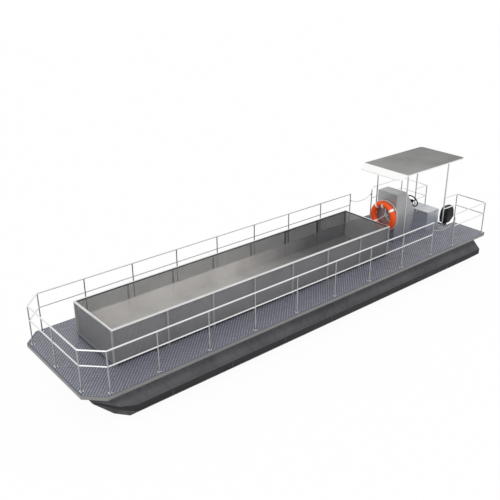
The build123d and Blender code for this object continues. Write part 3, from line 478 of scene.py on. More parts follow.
def canopy_material(top, trim):
    """Grey on the flat top, darker towards its aft edge; white on the edges and the visor, partly trim paint and partly
    a painted reflection of the bright surroundings; pale grey underneath, a painted shade of the trim.
    """
    material, tree = new_material("canopy paint")
    facing, place = facing_and_place(material)
    low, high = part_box("canopy_roof")
    # The top is painted darker towards its aft edge.
    fore = place["X"].remap(low.x, high.x)
    worn = weathered(tree, fore.mix(rgba(top, 0.48), rgba(top, 1.10)), rgba(top, 0.70), 0.8, 0.50)
    clean = weathered(tree, rgba(trim), rgba(trim, 0.86), 3.0, 0.20)
    # Painted shade: faces turned down get under half the trim's colour.
    edges = facing["Z"].remap(-0.30, -0.60).mix(clean["Colour"], rgba(trim, 0.45))
    # The visor and edges take the trim colour, in part a painted reflection.
    roof = facing["Z"].remap(0.94, 0.97).mix(edges, worn["Colour"])
    return finish(material, roof, worn["Mask"], (0.34, 0.52), worn["Height"], 0.08)


def rope_material(fibre):
    """Twisted strands across the rope's run."""
    material, tree = new_material("rope fibre")
    wave = add(tree, "ShaderNodeTexWave", {"Vector": coordinate(tree), "Scale": 55.0, "Distortion": 0.6},
               bands_direction="DIAGONAL")["Fac"]
    worn = weathered(tree, rgba(fibre), rgba(fibre, 0.6), 30.0, 0.5)
    strands = wave.remap(0.3, 0.0, 0.0, 0.6).mix(worn["Colour"], rgba(fibre, 0.35))
    return finish(material, strands, None, 0.85, wave, 0.8)


def timber_material():
    """Sealed hardwood with long grain across the boat."""
    material, tree = new_material("transom timber")
    grain = grouped(tree, "Streaks", {"Stretch": (30.0, 2.5, 45.0)})
    wood = grain["Mask"].mix((0.20, 0.115, 0.06, 1), (0.095, 0.05, 0.026, 1))
    return finish(material, wood, None, 0.42, grain["Height"], 0.15, 0.001)


# Making pieces


def dress(nodes, material):
    """Gives CAD nodes their material."""
    for name in nodes:
        node = frame["nodes"][name]
        if not node.material_slots:
            node.data.materials.append(material)
        for place in node.material_slots:
            place.material = material


def piece(name, mesh, material=None, body="hull", smooth=None):
    """A finished mesh or bmesh as a piece that rides on a body."""
    if isinstance(mesh, bmesh.types.BMesh):
        mesh = from_bmesh(mesh)
    mesh.name = name
    if material is not None:
        mesh.materials.append(material)
    obj = bpy.data.objects.new(name, mesh)
    bpy.context.scene.collection.objects.link(obj)
    if smooth is not None:
        mesh.shade_smooth()
        mesh.set_sharp_from_angle(angle=math.radians(smooth))
    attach(obj, body)
    return obj


def from_bmesh(build):
    """A mesh from a bmesh, its faces pointing outwards."""
    bmesh.ops.recalc_face_normals(build, faces=build.faces)
    mesh = bpy.data.meshes.new("mesh")
    build.to_mesh(mesh)
    build.free()
    return mesh


def standing(place, axis):
    """The matrix that stands Z along an axis, at a place."""
    turn = Vector((0, 0, 1)).rotation_difference(Vector(axis).normalized())
    return Matrix.Translation(Vector(place)) @ turn.to_matrix().to_4x4()


def add_box(build, low, high, bevel=0.0, turn=None):
    """A box between two corners, its edges rounded, turned about its middle."""
    low, high = Vector(low), Vector(high)
    made = bmesh.ops.create_cube(build, size=1.0)["verts"]
    bmesh.ops.scale(build, vec=high - low, verts=made)
    if bevel:
        edges = list({e for v in made for e in v.link_edges})
        rounded = bmesh.ops.bevel(build, geom=edges, offset=bevel, segments=2, profile=0.5, affect="EDGES")
        made = list({v for f in rounded["faces"] for v in f.verts} | {v for v in made if v.is_valid})
    if turn is not None:
        bmesh.ops.transform(build, matrix=turn, verts=made)
    bmesh.ops.translate(build, vec=(low + high) / 2, verts=made)


def add_rod(build, start, end, radius, segments=16, end_radius=None):
    """A round bar or cone between two points."""
    start, end = Vector(start), Vector(end)
    bmesh.ops.create_cone(build, cap_ends=True, segments=segments, radius1=radius,
                          radius2=radius if end_radius is None else end_radius, depth=(end - start).length,
                          matrix=standing((start + end) / 2, end - start))


def skin(build, rings, closed=False):
    """Faces between neighbouring rings of corners. A ring may be a single corner."""
    count = max(len(ring) for ring in rings)
    for lower, upper in zip(rings, rings[1:] + rings[:1] * closed):
        for i in range(count):
            j = (i + 1) % count
            corners = (lower[i % len(lower)], lower[j % len(lower)], upper[j % len(upper)], upper[i % len(upper)])
            build.faces.new(tuple(dict.fromkeys(corners)))


def add_lathe(build, centre, axis, profile, segments=32):
    """A turned shape: profile rows are distance along the axis and radius."""
    matrix = standing(centre, axis)
    angles = [2 * math.pi * i / segments for i in range(segments)]
    skin(build, [[build.verts.new(matrix @ Vector((radius * math.cos(a), radius * math.sin(a), along)))
                  for a in (angles if radius else angles[:1])] for along, radius in profile])


def outline_bars(a0, b0, a1, b1, width):
    """Four bars along a rectangle's edges, each as two corners."""
    return ((a0, b0, a0 + width, b1), (a1 - width, b0, a1, b1), (a0, b0, a1, b0 + width), (a0, b1 - width, a1, b1))


def add_fittings(build, boxes=(), rods=()):
    """Boxes (two corners, bevel) and rods (two ends, radius, corners), given from the deck's stern edge and top."""
    for low, high, bevel in boxes:
        add_box(build, at(*low), at(*high), bevel)
    for start, end, radius, segments in rods:
        add_rod(build, at(*start), at(*end), radius, segments)


# Geometry node trees


def geometry_tree(name, inputs):
    """A geometry node tree with named inputs."""
    return new_tree("GeometryNodeTree", name, {"Geometry": "Geometry", **inputs, "Material": "Material"},
                    {"Geometry": "Geometry"})


def closing(tree, given, geometry, result):
    """Ends a tree in Realize Instances and Set Material."""
    real = add(tree, "GeometryNodeRealizeInstances", {"Geometry": geometry})
    paint = add(tree, "GeometryNodeSetMaterial", {"Geometry": real["Geometry"], "Material": given["Material"]})
    put(paint["Geometry"], result["Geometry"])


def gathered(tree, geometries):
    """Several geometries as one."""
    node = tree.nodes.new("GeometryNodeJoinGeometry")
    for geometry in geometries:
        put(geometry, node.inputs["Geometry"])
    return Field(node.outputs["Geometry"])


def instances(tree, points, instance, **inputs):
    """One shape at every point."""
    return add(tree, "GeometryNodeInstanceOnPoints", {"Points": points, "Instance": instance, **inputs})["Instances"]


def wire_row(tree, span, across, pitch, width, depth, upright):
    """A row of flat wires: upright ones side by side, or level ones over each other."""
    steps = (span / pitch).math("ROUND")
    # Each layer lies nearly half a wire off the panel's middle, so that the two just sink into each other
    start, lift = span * -0.5, depth * (0.48 if upright else -0.48)
    line = add(tree, "GeometryNodeMeshLine", {
        "Count": steps + 1.0,
        "Start Location": xyz(tree, start, 0.0, lift) if upright else xyz(tree, 0.0, start, lift),
        "Offset": xyz(tree, span / steps) if upright else xyz(tree, 0.0, span / steps)}, mode="OFFSET")
    wire = add(tree, "GeometryNodeMeshCylinder", {"Vertices": 6, "Radius": 0.5, "Depth": 1.0})
    quarter = math.pi / 2
    return instances(tree, line["Mesh"], wire["Mesh"], Rotation=(quarter, 0, 0) if upright else (0, quarter, 0),
                     Scale=xyz(tree, width, depth, across) if upright else xyz(tree, depth, width, across))


def wire_panel_tree():
    """A woven wire panel in the XY plane: upright wires in one layer, level wires in the other."""
    tree, given, result = geometry_tree("Wire panel", {
        "Length": 1.0, "Height": 1.0, "Pitch": 0.027, "Wire Width": 0.0195, "Wire Depth": 0.0028})
    wires = [given[label] for label in ("Pitch", "Wire Width", "Wire Depth")]
    closing(tree, given, gathered(tree, [wire_row(tree, given["Length"], given["Height"], *wires, True),
                                         wire_row(tree, given["Height"], given["Length"], *wires, False)]), result)


def tread_tree():
    """Slanted lugs over the deck's open parts, turned the other way on every second place."""
    tree, given, result = geometry_tree("Tread lugs", {
        "Length": 12.0, "Width": 3.0, "Pitch": 0.0385, "Chamfer": 0.35, "Notch Depth": 0.43, "Notch Half Width": 0.46,
        "Margin": 0.045, "Bare Start": 3.3, "Bare End": 11.4, "Bare Half Width": 0.7, "Lug": "Object"})
    pitch, margin = given["Pitch"], given["Margin"]
    grid = {}
    for label, axis in (("Length", "X"), ("Width", "Y")):
        steps = ((given[label] - margin * 2.0) / pitch).math("FLOOR")
        grid |= {"Size " + axis: steps * pitch, "Vertices " + axis: steps + 1.0}
    where = add(tree, "ShaderNodeSeparateXYZ", {0: add(tree, "GeometryNodeInputPosition")["Position"]})
    x, y = where["X"], where["Y"]
    side = y.math("ABSOLUTE")
    half_length, half_width = given["Length"] * 0.5, given["Width"] * 0.5
    along = x + half_length
    # On the slanted edge the margin counts along both axes
    off_bow = x + side > half_length + half_width - given["Chamfer"] - margin * 1.4
    in_notch = (x < given["Notch Depth"] + margin - half_length) * (side < given["Notch Half Width"] + margin)
    covered = (side < given["Bare Half Width"]) * ((along > given["Bare Start"]) * (along < given["Bare End"]))
    cut = add(tree, "GeometryNodeDeleteGeometry", {"Geometry": add(tree, "GeometryNodeMeshGrid", grid)["Mesh"],
                                                   "Selection": off_bow + in_notch + covered})
    column, row = (along / pitch).math("ROUND"), ((y + half_width) / pitch).math("ROUND")
    angle = (column + row).math("MODULO", 2.0) * (math.pi / 2) - math.pi / 4
    lug = add(tree, "GeometryNodeObjectInfo", {"Object": given["Lug"]})
    closing(tree, given, instances(tree, cut["Geometry"], lug["Geometry"], Rotation=xyz(tree, 0.0, 0.0, angle)),
            result)


def bolt_circle_tree():
    """A ring of hexagon bolts with washers round every vertex of the mesh it is given."""
    tree, given, result = geometry_tree("Bolt circles", {"Circle Radius": 0.03, "Head Radius": 0.0085, "Count": 4})
    radius = given["Head Radius"]
    stack = []
    # Head and washer: corners, then width, height and lift in head radii
    for corners, wide, tall, lift in ((6, 1.0, 1.25, 0.87), (12, 1.35, 0.25, 0.12)):
        flat = add(tree, "GeometryNodeMeshCylinder", {"Vertices": corners, "Radius": radius * wide,
                                                      "Depth": radius * tall})
        stack.append(add(tree, "GeometryNodeTransform", {
            "Geometry": flat["Mesh"], "Translation": xyz(tree, 0.0, 0.0, radius * lift)})["Geometry"])
    circle = add(tree, "GeometryNodeMeshCircle", {"Vertices": given["Count"], "Radius": given["Circle Radius"]})
    ring = instances(tree, circle["Mesh"], gathered(tree, stack))
    closing(tree, given, instances(tree, given["Geometry"], ring, Rotation=(0, 0, math.pi / 4)), result)


def rivet_row_tree():
    """Domed rivets at an even pitch along the edges of the mesh it is given."""
    tree, given, result = geometry_tree("Rivet rows", {"Pitch": 0.15, "Radius": 0.006})
    path = add(tree, "GeometryNodeMeshToCurve", {"Mesh": given["Geometry"]})
    points = add(tree, "GeometryNodeResampleCurve", {"Curve": path["Curve"], "Length": given["Pitch"]}, mode="LENGTH")
    dome = add(tree, "GeometryNodeMeshUVSphere", {"Segments": 10, "Rings": 6, "Radius": given["Radius"]})
    closing(tree, given, instances(tree, points["Curve"], dome["Mesh"], Scale=(1, 1, 0.5)), result)


def marks(points, edges=()):
    """A mesh of bare points and edges for a tree to work along."""
    mesh = bpy.data.meshes.new("marks")
    mesh.from_pydata([tuple(p) for p in points], list(edges), [])
    return mesh


def grown(tree_name, base, values):
    """What a tree makes from a base mesh, as a plain mesh."""
    tree = bpy.data.node_groups[tree_name]
    source = bpy.data.objects.new("source", base)
    bpy.context.scene.collection.objects.link(source)
    grow = source.modifiers.new("grow", "NODES")
    grow.node_group = tree
    for label, value in values.items():
        grow[tree.interface.items_tree[label].identifier] = value
    graph = bpy.context.evaluated_depsgraph_get()
    mesh = bpy.data.meshes.new_from_object(source.evaluated_get(graph), depsgraph=graph)
    bpy.data.objects.remove(source)
    return mesh


def add_foot_bolts(name, places, circle_radius, head_radius, steel):
    """Four bolts on every foot plate of a list of posts."""
    mesh = grown("Bolt circles", marks([at(x, y, FOOT_THICKNESS) for x, y in places]),
                 {"Circle Radius": circle_radius, "Head Radius": head_radius, "Material": steel})
    piece(name, mesh)


# Operators


class WORKBOAT_OT_trees(bpy.types.Operator):
    """Builds the shader groups and geometry trees that the other steps share"""

    bl_idname = "workboat.trees"
    bl_label = "Shared node trees"

    def execute(self, context):
        for build_tree in (weathering_group, streaks_group, hopper_light_group, wire_panel_tree, tread_tree,
                           bolt_circle_tree, rivet_row_tree):
            build_tree()
        return {"FINISHED"}


class WORKBOAT_OT_stage(bpy.types.Operator):
    """Makes the floor, the even light, the lamps and the camera"""

    bl_idname = "workboat.stage"
    bl_label = "Stage"

    # The camera's place from the deck's stern edge and top, and its right and up directions
    CAMERA = (16.694, 11.203, 7.581)
    RIGHT = (-0.7683, 0.6401, -0.0035)
    UP = (-0.2637, -0.3115, 0.9129)
    SENSOR_WIDTH = 36.0
    FLOOR_REACH = 60.0
    # How much of the floor's look is the backdrop's colour. The rest takes the boat's shadow
    FLOOR_WHITE = 0.96
    # The lamps: name of the strength's setting, angle in degrees and direction
    LAMPS = (("key", 25.0, (-0.35, -0.55, -1.0)), ("fill", 60.0, (-1.0, -0.15, -0.35)))

    def execute(self, context):
        scene = context.scene
        settings = scene.workboat_stage
        scene.view_settings.view_transform = "Standard"
        self.add_camera(scene, settings)
        self.add_floor(scene, settings)
        self.add_light(scene, settings)
        return {"FINISHED"}

    def add_camera(self, scene, settings):
        lens = bpy.data.cameras.new("camera")
        lens.lens = settings.lens
        lens.sensor_width = self.SENSOR_WIDTH
        lens.clip_end = 5 * self.FLOOR_REACH
        camera = bpy.data.objects.new("camera", lens)
        scene.collection.objects.link(camera)
        right, up = Vector(self.RIGHT), Vector(self.UP)
        turn = Matrix((right, up, right.cross(up))).transposed().to_4x4()
        camera.matrix_world = Matrix.Translation(at(*self.CAMERA)) @ turn
        scene.camera = camera

    def shown_white(self, tree, settings, plain, share, glow):
        """Mixes a plain shader with the backdrop's own colour for camera, glossy and transmission rays."""
        rays = add(tree, "ShaderNodeLightPath")
        seen = rays["Is Camera Ray"] + rays["Is Glossy Ray"] + rays["Is Transmission Ray"]
        white = add(tree, glow, {"Color": rgba(settings.backdrop), "Strength": 1.0})[0]
        return add(tree, "ShaderNodeMixShader", {0: seen.math("MINIMUM", 1.0) * share, 1: plain, 2: white})[0]

    def add_floor(self, scene, settings):
        mesh = bpy.data.meshes.new("floor")
        corners = ((-1, -1), (1, -1), (1, 1), (-1, 1))
        mesh.from_pydata([(x * self.FLOOR_REACH, y * self.FLOOR_REACH, 0) for x, y in corners], [], [(0, 1, 2, 3)])
        floor = bpy.data.objects.new("floor", mesh)
        scene.collection.objects.link(floor)
        material, tree = new_material("floor", gloss=0.0)
        shader = tree.nodes["Principled BSDF"]
        shader.inputs["Base Color"].default_value = (0.9, 0.9, 0.9, 1)
        shader.inputs["Roughness"].default_value = 1.0
        put(self.shown_white(tree, settings, shader.outputs[0], self.FLOOR_WHITE, "ShaderNodeEmission"),
            tree.nodes["Material Output"].inputs["Surface"])
        mesh.materials.append(material)

    def add_light(self, scene, settings):
        world = bpy.data.worlds.new("even light")
        scene.world = world
        world.use_nodes = True
        tree = world.node_tree
        sky = tree.nodes["Background"]
        sky.inputs["Color"].default_value = (1, 1, 1, 1)
        sky.inputs["Strength"].default_value = settings.sky
        put(self.shown_white(tree, settings, sky.outputs[0], 1.0, "ShaderNodeBackground"),
            tree.nodes["World Output"].inputs["Surface"])
        for name, angle, direction in self.LAMPS:
            lamp = bpy.data.lights.new(name, "SUN")
            lamp.energy = getattr(settings, name)
            lamp.angle = math.radians(angle)
            holder = bpy.data.objects.new(name, lamp)
            scene.collection.objects.link(holder)
            holder.rotation_mode = "QUATERNION"
            holder.rotation_quaternion = Vector(direction).to_track_quat("-Z", "Y")
            holder.location = (0, 0, 12)


class WORKBOAT_OT_ropes(bpy.types.Operator):
    """Makes the two gangway ropes, which hang between their eyes"""

    bl_idname = "workboat.ropes"
    bl_label = "Gangway ropes"

    # Places from the deck's stern edge and heights over the deck, from the fore eye to the aft one
    ROUTE = [(2.366, 0.682), (2.285, 0.650), (2.170, 0.617), (2.035, 0.596), (1.890, 0.590), (1.755, 0.603),
             (1.640, 0.636), (1.552, 0.682)]
    RADIUS = 0.006

    def execute(self, context):
        fibre = rope_material(context.scene.workboat_rails.rope)
        for side, y in (("port", RAIL_Y), ("starboard", -RAIL_Y)):
            curve = bpy.data.curves.new("rope_" + side, "CURVE")
            curve.dimensions = "3D"
            curve.bevel_depth = self.RADIUS
            curve.bevel_resolution = 3
            curve.resolution_u = 8
            curve.use_fill_caps = True
            spline = curve.splines.new("NURBS")
            spline.points.add(len(self.ROUTE) - 1)
            for point, (x, z) in zip(spline.points, self.ROUTE):
                point.co = (*at(x, y, z), 1.0)
            spline.order_u = 3
            spline.use_endpoint_u = True
            curve.materials.append(fibre)
            rope = bpy.data.objects.new("rope_" + side, curve)
            context.scene.collection.objects.link(rope)
            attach(rope, "hull")
            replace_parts(rope, "gangway_rope_" + side)
        return {"FINISHED"}


class WORKBOAT_OT_hull(bpy.types.Operator):
    """Paints the pontoons and the frame under the deck, and lays weld seams round the pontoons"""

    bl_idname = "workboat.hull"
    bl_label = "Pontoons and frame"

    # The pontoon's section: places from its middle and heights over its bottom, and the height of its own middle
    SECTION = ((0.125, 0.730), (0.445, 0.440), (0.445, 0.290), (0.125, 0.0), (-0.125, 0.0), (-0.445, 0.290),
               (-0.445, 0.440), (-0.125, 0.730))
    SECTION_MIDDLE = 0.365
    CORNER = 0.012
    PONTOON_Y = 1.03
    SEAM_START, SEAM_PITCH, SEAM_COUNT = 1.60, 1.50, 7
    # The bead's rows: place along the pontoon and height over its skin
    BEAD = ((-0.006, 0.0), (-0.003, 0.0022), (0.003, 0.0022), (0.006, 0.0))
    SUNK = 0.001

    def execute(self, context):
        paint = context.scene.workboat_deck.pontoon
        dress(["pontoon_port", "pontoon_starboard"], pontoon_material(paint))
        dress(["cross_beams", "pontoon_risers", "transom_beam"],
              painted("frame paint", (0.075, 0.076, 0.080), stain=1.5, scale=2.0, rough=(0.42, 0.62)))
        dress(["transom_board"], timber_material())
        bead = painted("weld bead", tuple(c * 1.5 for c in paint), stain=0.7, scale=20.0, rough=(0.35, 0.55), bump=0.5)
        build = bmesh.new()
        for y in (self.PONTOON_Y, -self.PONTOON_Y):
            for step in range(self.SEAM_COUNT):
                self.add_seam(build, STERN_X + self.SEAM_START + step * self.SEAM_PITCH, y)
        piece("pontoon_welds", build, bead, smooth=50)
        return {"FINISHED"}

    def add_seam(self, build, x, y_middle):
        """A low rounded bead round the pontoon at one place."""
        rows = []
        for offset, proud in self.BEAD:
            row = []
            for i, corner in enumerate(map(Vector, self.SECTION)):
                for j in (i - 1, (i + 1) % len(self.SECTION)):
                    inner = corner + (Vector(self.SECTION[j]) - corner).normalized() * self.CORNER
                    out = Vector((inner.x, inner.y - self.SECTION_MIDDLE)).normalized() * (proud - self.SUNK)
                    row.append(build.verts.new((x + offset, y_middle + inner.x + out.x, max(0.0, inner.y + out.y))))
            rows.append(row)
        skin(build, rows)


class WORKBOAT_OT_deck(bpy.types.Operator):
    """Paints the deck and sets the tread plate's lugs on it"""

    bl_idname = "workboat.deck"
    bl_label = "Deck"

    # How far the lugs reach in under the hopper
    UNDER_HOPPER = 0.16
    # Where a lug's foot and its ridge end, in half lengths
    FOOT_SHARE, RIDGE_SHARE = 0.55, 0.5

    def execute(self, context):
        settings = context.scene.workboat_deck
        dress(["deck_plate", "stern_deck_plates"], painted("deck paint", settings.plate, stain=0.70, amount=0.50,
                                                           scale=0.9, rough=(0.36, 0.58), bump=0.2))
        dress(["deck_edge_band"], painted("band paint", settings.band, stain=0.75, scale=2.2, rough=(0.35, 0.55)))
        lug = bpy.data.objects.new("lug", self.lug_mesh(settings))
        context.scene.collection.objects.link(lug)
        low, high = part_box("hopper_floor")
        mesh = grown("Tread lugs", marks([(0, 0, 0)]), {
            "Length": BOW_X - STERN_X, "Width": 2 * HALF_BEAM, "Pitch": settings.lug_pitch, "Margin": settings.margin,
            "Bare Start": low.x - STERN_X + self.UNDER_HOPPER, "Bare End": high.x - STERN_X - self.UNDER_HOPPER,
            "Bare Half Width": high.y - self.UNDER_HOPPER, "Lug": lug, "Material": lug_material(settings.lug)})
        bpy.data.objects.remove(lug)
        mesh.transform(Matrix.Translation(((BOW_X + STERN_X) / 2, 0, DECK_Z)))
        piece("tread_lugs", mesh)
        return {"FINISHED"}

    def lug_mesh(self, settings):
        """One long low lug with a ridge."""
        half, width, top = settings.lug_length / 2, settings.lug_width / 2, settings.lug_height
        side, ridge = half * self.FOOT_SHARE, half * self.RIDGE_SHARE
        points = [(-half, 0, 0), (-side, -width, 0), (side, -width, 0), (half, 0, 0), (side, width, 0),
                  (-side, width, 0), (-ridge, 0, top), (ridge, 0, top)]
        faces = [(0, 1, 6), (1, 2, 7, 6), (2, 3, 7), (3, 4, 7), (4, 5, 6, 7), (5, 0, 6)]
        mesh = bpy.data.meshes.new("lug")
        mesh.from_pydata(points, [], faces)
        return mesh


class WORKBOAT_OT_rails(bpy.types.Operator):
    """Gives the railing its steel and bolts its feet down"""

    bl_idname = "workboat.rails"
    bl_label = "Railings"

    # Places of the posts from the deck's stern edge: the even row along each side, then the others on both sides
    SIDE_START, SIDE_PITCH, SIDE_COUNT = 2.420, 1.207, 8
    OTHERS = ((11.936, RAIL_Y), (0.090, RAIL_Y), (1.486, RAIL_Y), (0.090, 0.530), (12.316, 1.066))
    BOW_MIDDLE = (12.316, 0.0)

    def execute(self, context):
        settings = context.scene.workboat_rails
        dress(["side_rails_port", "side_rails_starboard", "bow_corner_rails", "bow_rails", "stern_rails_cross",
               "stern_rails_return", "stern_rail_elbows"],
              brushed("rail steel", settings.rail, RAIL_GRAIN, tint=0.90))
        dress(["stanchions_port", "stanchions_starboard", "stanchions_bow"],
              brushed("post steel", settings.post, POST_GRAIN, rough=(0.26, 0.40), tint=0.88))
        dress(["stanchion_flanges", "gangway_eyes"],
              brushed("foot steel", settings.flange, FOOT_GRAIN, tint=0.85))
        # The bolts are near white and hardly metallic, so they show as bright dots: a painted highlight.
        bolt = brushed("bolt steel", settings.bolt, FOOT_GRAIN, tint=0.95, metallic=0.1)
        row = [(self.SIDE_START + i * self.SIDE_PITCH, RAIL_Y) for i in range(self.SIDE_COUNT)]
        places = [(x, y * side) for x, y in (*row, *self.OTHERS) for side in (1, -1)] + [self.BOW_MIDDLE]
        add_foot_bolts("post_foot_bolts", places, settings.bolt_circle, settings.bolt_radius, bolt)
        return {"FINISHED"}


class WORKBOAT_OT_hopper(bpy.types.Operator):
    """Puts panels of woven flat wire in the hopper's walls and finishes its floor and frame"""

    bl_idname = "workboat.hopper"
    bl_label = "Hopper"

    def execute(self, context):
        settings = context.scene.workboat_hopper
        for name, paint, nodes in (("hopper frame paint", settings.frame, ["hopper_posts"]),
                                   ("hopper sill paint", settings.wire,
                                    ["hopper_sill_sides", "hopper_sill_ends", "hopper_feet"])):
            dress(nodes, painted(name, paint, stain=0.7, scale=2.0, rough=(0.34, 0.52)))
        low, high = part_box("hopper_floor")
        dress(["hopper_rim_sides"], rim_material("rim steel along", settings.rim, (2.0, 40.0, 40.0), "Y", 0.0))
        dress(["hopper_rim_ends"],
              rim_material("rim steel across", settings.rim, (40.0, 2.0, 40.0), "X", (low.x + high.x) / 2))
        # The floor's top is painted darker towards the stern: painted shade.
        dress(["hopper_floor"], loaded("floor sheet", settings.wire, settings.floor, settings.floor, settings.stern,
                                       settings.stern, (0, 0, 1), 0.0, rough=(0.30, 0.46)))
        upright = Matrix.Rotation(math.pi / 2, 4, "X")
        across = Matrix.Rotation(math.pi / 2, 4, "Z") @ upright
        for name, turn, inward in (("side_port", upright, (0, -1, 0)), ("side_starboard", upright, (0, 1, 0)),
                                   ("end_stern", across, (1, 0, 0)), ("end_bow", across, (-1, 0, 0))):
            # Painted shade near the stern: the stern end wall takes the upper inside colour all over, the other walls
            # the two stern colours.
            aft = (settings.dull, settings.dull) if name == "end_stern" else (settings.stern_dull, settings.stern)
            wall = loaded("wire " + name, settings.wire, settings.dull, settings.lower_painted_light, *aft, inward,
                          DECK_Z + settings.light_band_top)
            low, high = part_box("hopper_" + name)
            size = high - low
            mesh = grown("Wire panel", marks([(0, 0, 0)]), {
                "Length": max(size.x, size.y) - settings.wire_width, "Height": size.z - settings.wire_width,
                "Pitch": settings.pitch, "Wire Width": settings.wire_width, "Material": wall})
            mesh.transform(Matrix.Translation((low + high) / 2) @ turn)
            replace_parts(piece("wire_panel_" + name, mesh), "hopper_" + name)
        return {"FINISHED"}


class WORKBOAT_OT_canopy(bpy.types.Operator):
    """Paints the canopy, rivets its edges and bolts its posts down"""

    bl_idname = "workboat.canopy"
    bl_label = "Canopy"

    # The rivets lie this far in from the edges, turn in at the corners and end under the visor's fold
    INSET, CORNER, FOLD_X = 0.03, 0.105, 2.70
    RIVET_SUNK = 0.0005
    POST_X, POST_Y = (0.640, 2.400), 0.504
    BOLT_CIRCLE, BOLT_RADIUS = 0.041, 0.0085

    def execute(self, context):
        settings = context.scene.workboat_canopy
        dress(["canopy_roof"], canopy_material(settings.top, settings.trim))
        post = brushed("canopy post steel", settings.post, POST_GRAIN, rough=(0.24, 0.38), tint=0.88)
        dress(["canopy_frame", "canopy_posts", "canopy_post_flanges"], post)
        low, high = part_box("canopy_roof")
        half = [(STERN_X + self.FOLD_X, high.y - self.INSET), (low.x + self.CORNER, high.y - self.INSET),
                (low.x + self.INSET, high.y - self.CORNER)]
        path = [(x, y, high.z - self.RIVET_SUNK) for x, y in half + [(x, -y) for x, y in reversed(half)]]
        mesh = grown("Rivet rows", marks(path, [(i, i + 1) for i in range(len(path) - 1)]),
                     {"Pitch": settings.rivet_pitch, "Radius": settings.rivet_radius, "Material": post})
        piece("canopy_rivets", mesh, smooth=60)
        places = [(x, y) for x in self.POST_X for y in (self.POST_Y, -self.POST_Y)]
        add_foot_bolts("canopy_foot_bolts", places, self.BOLT_CIRCLE, self.BOLT_RADIUS, post)
        return {"FINISHED"}


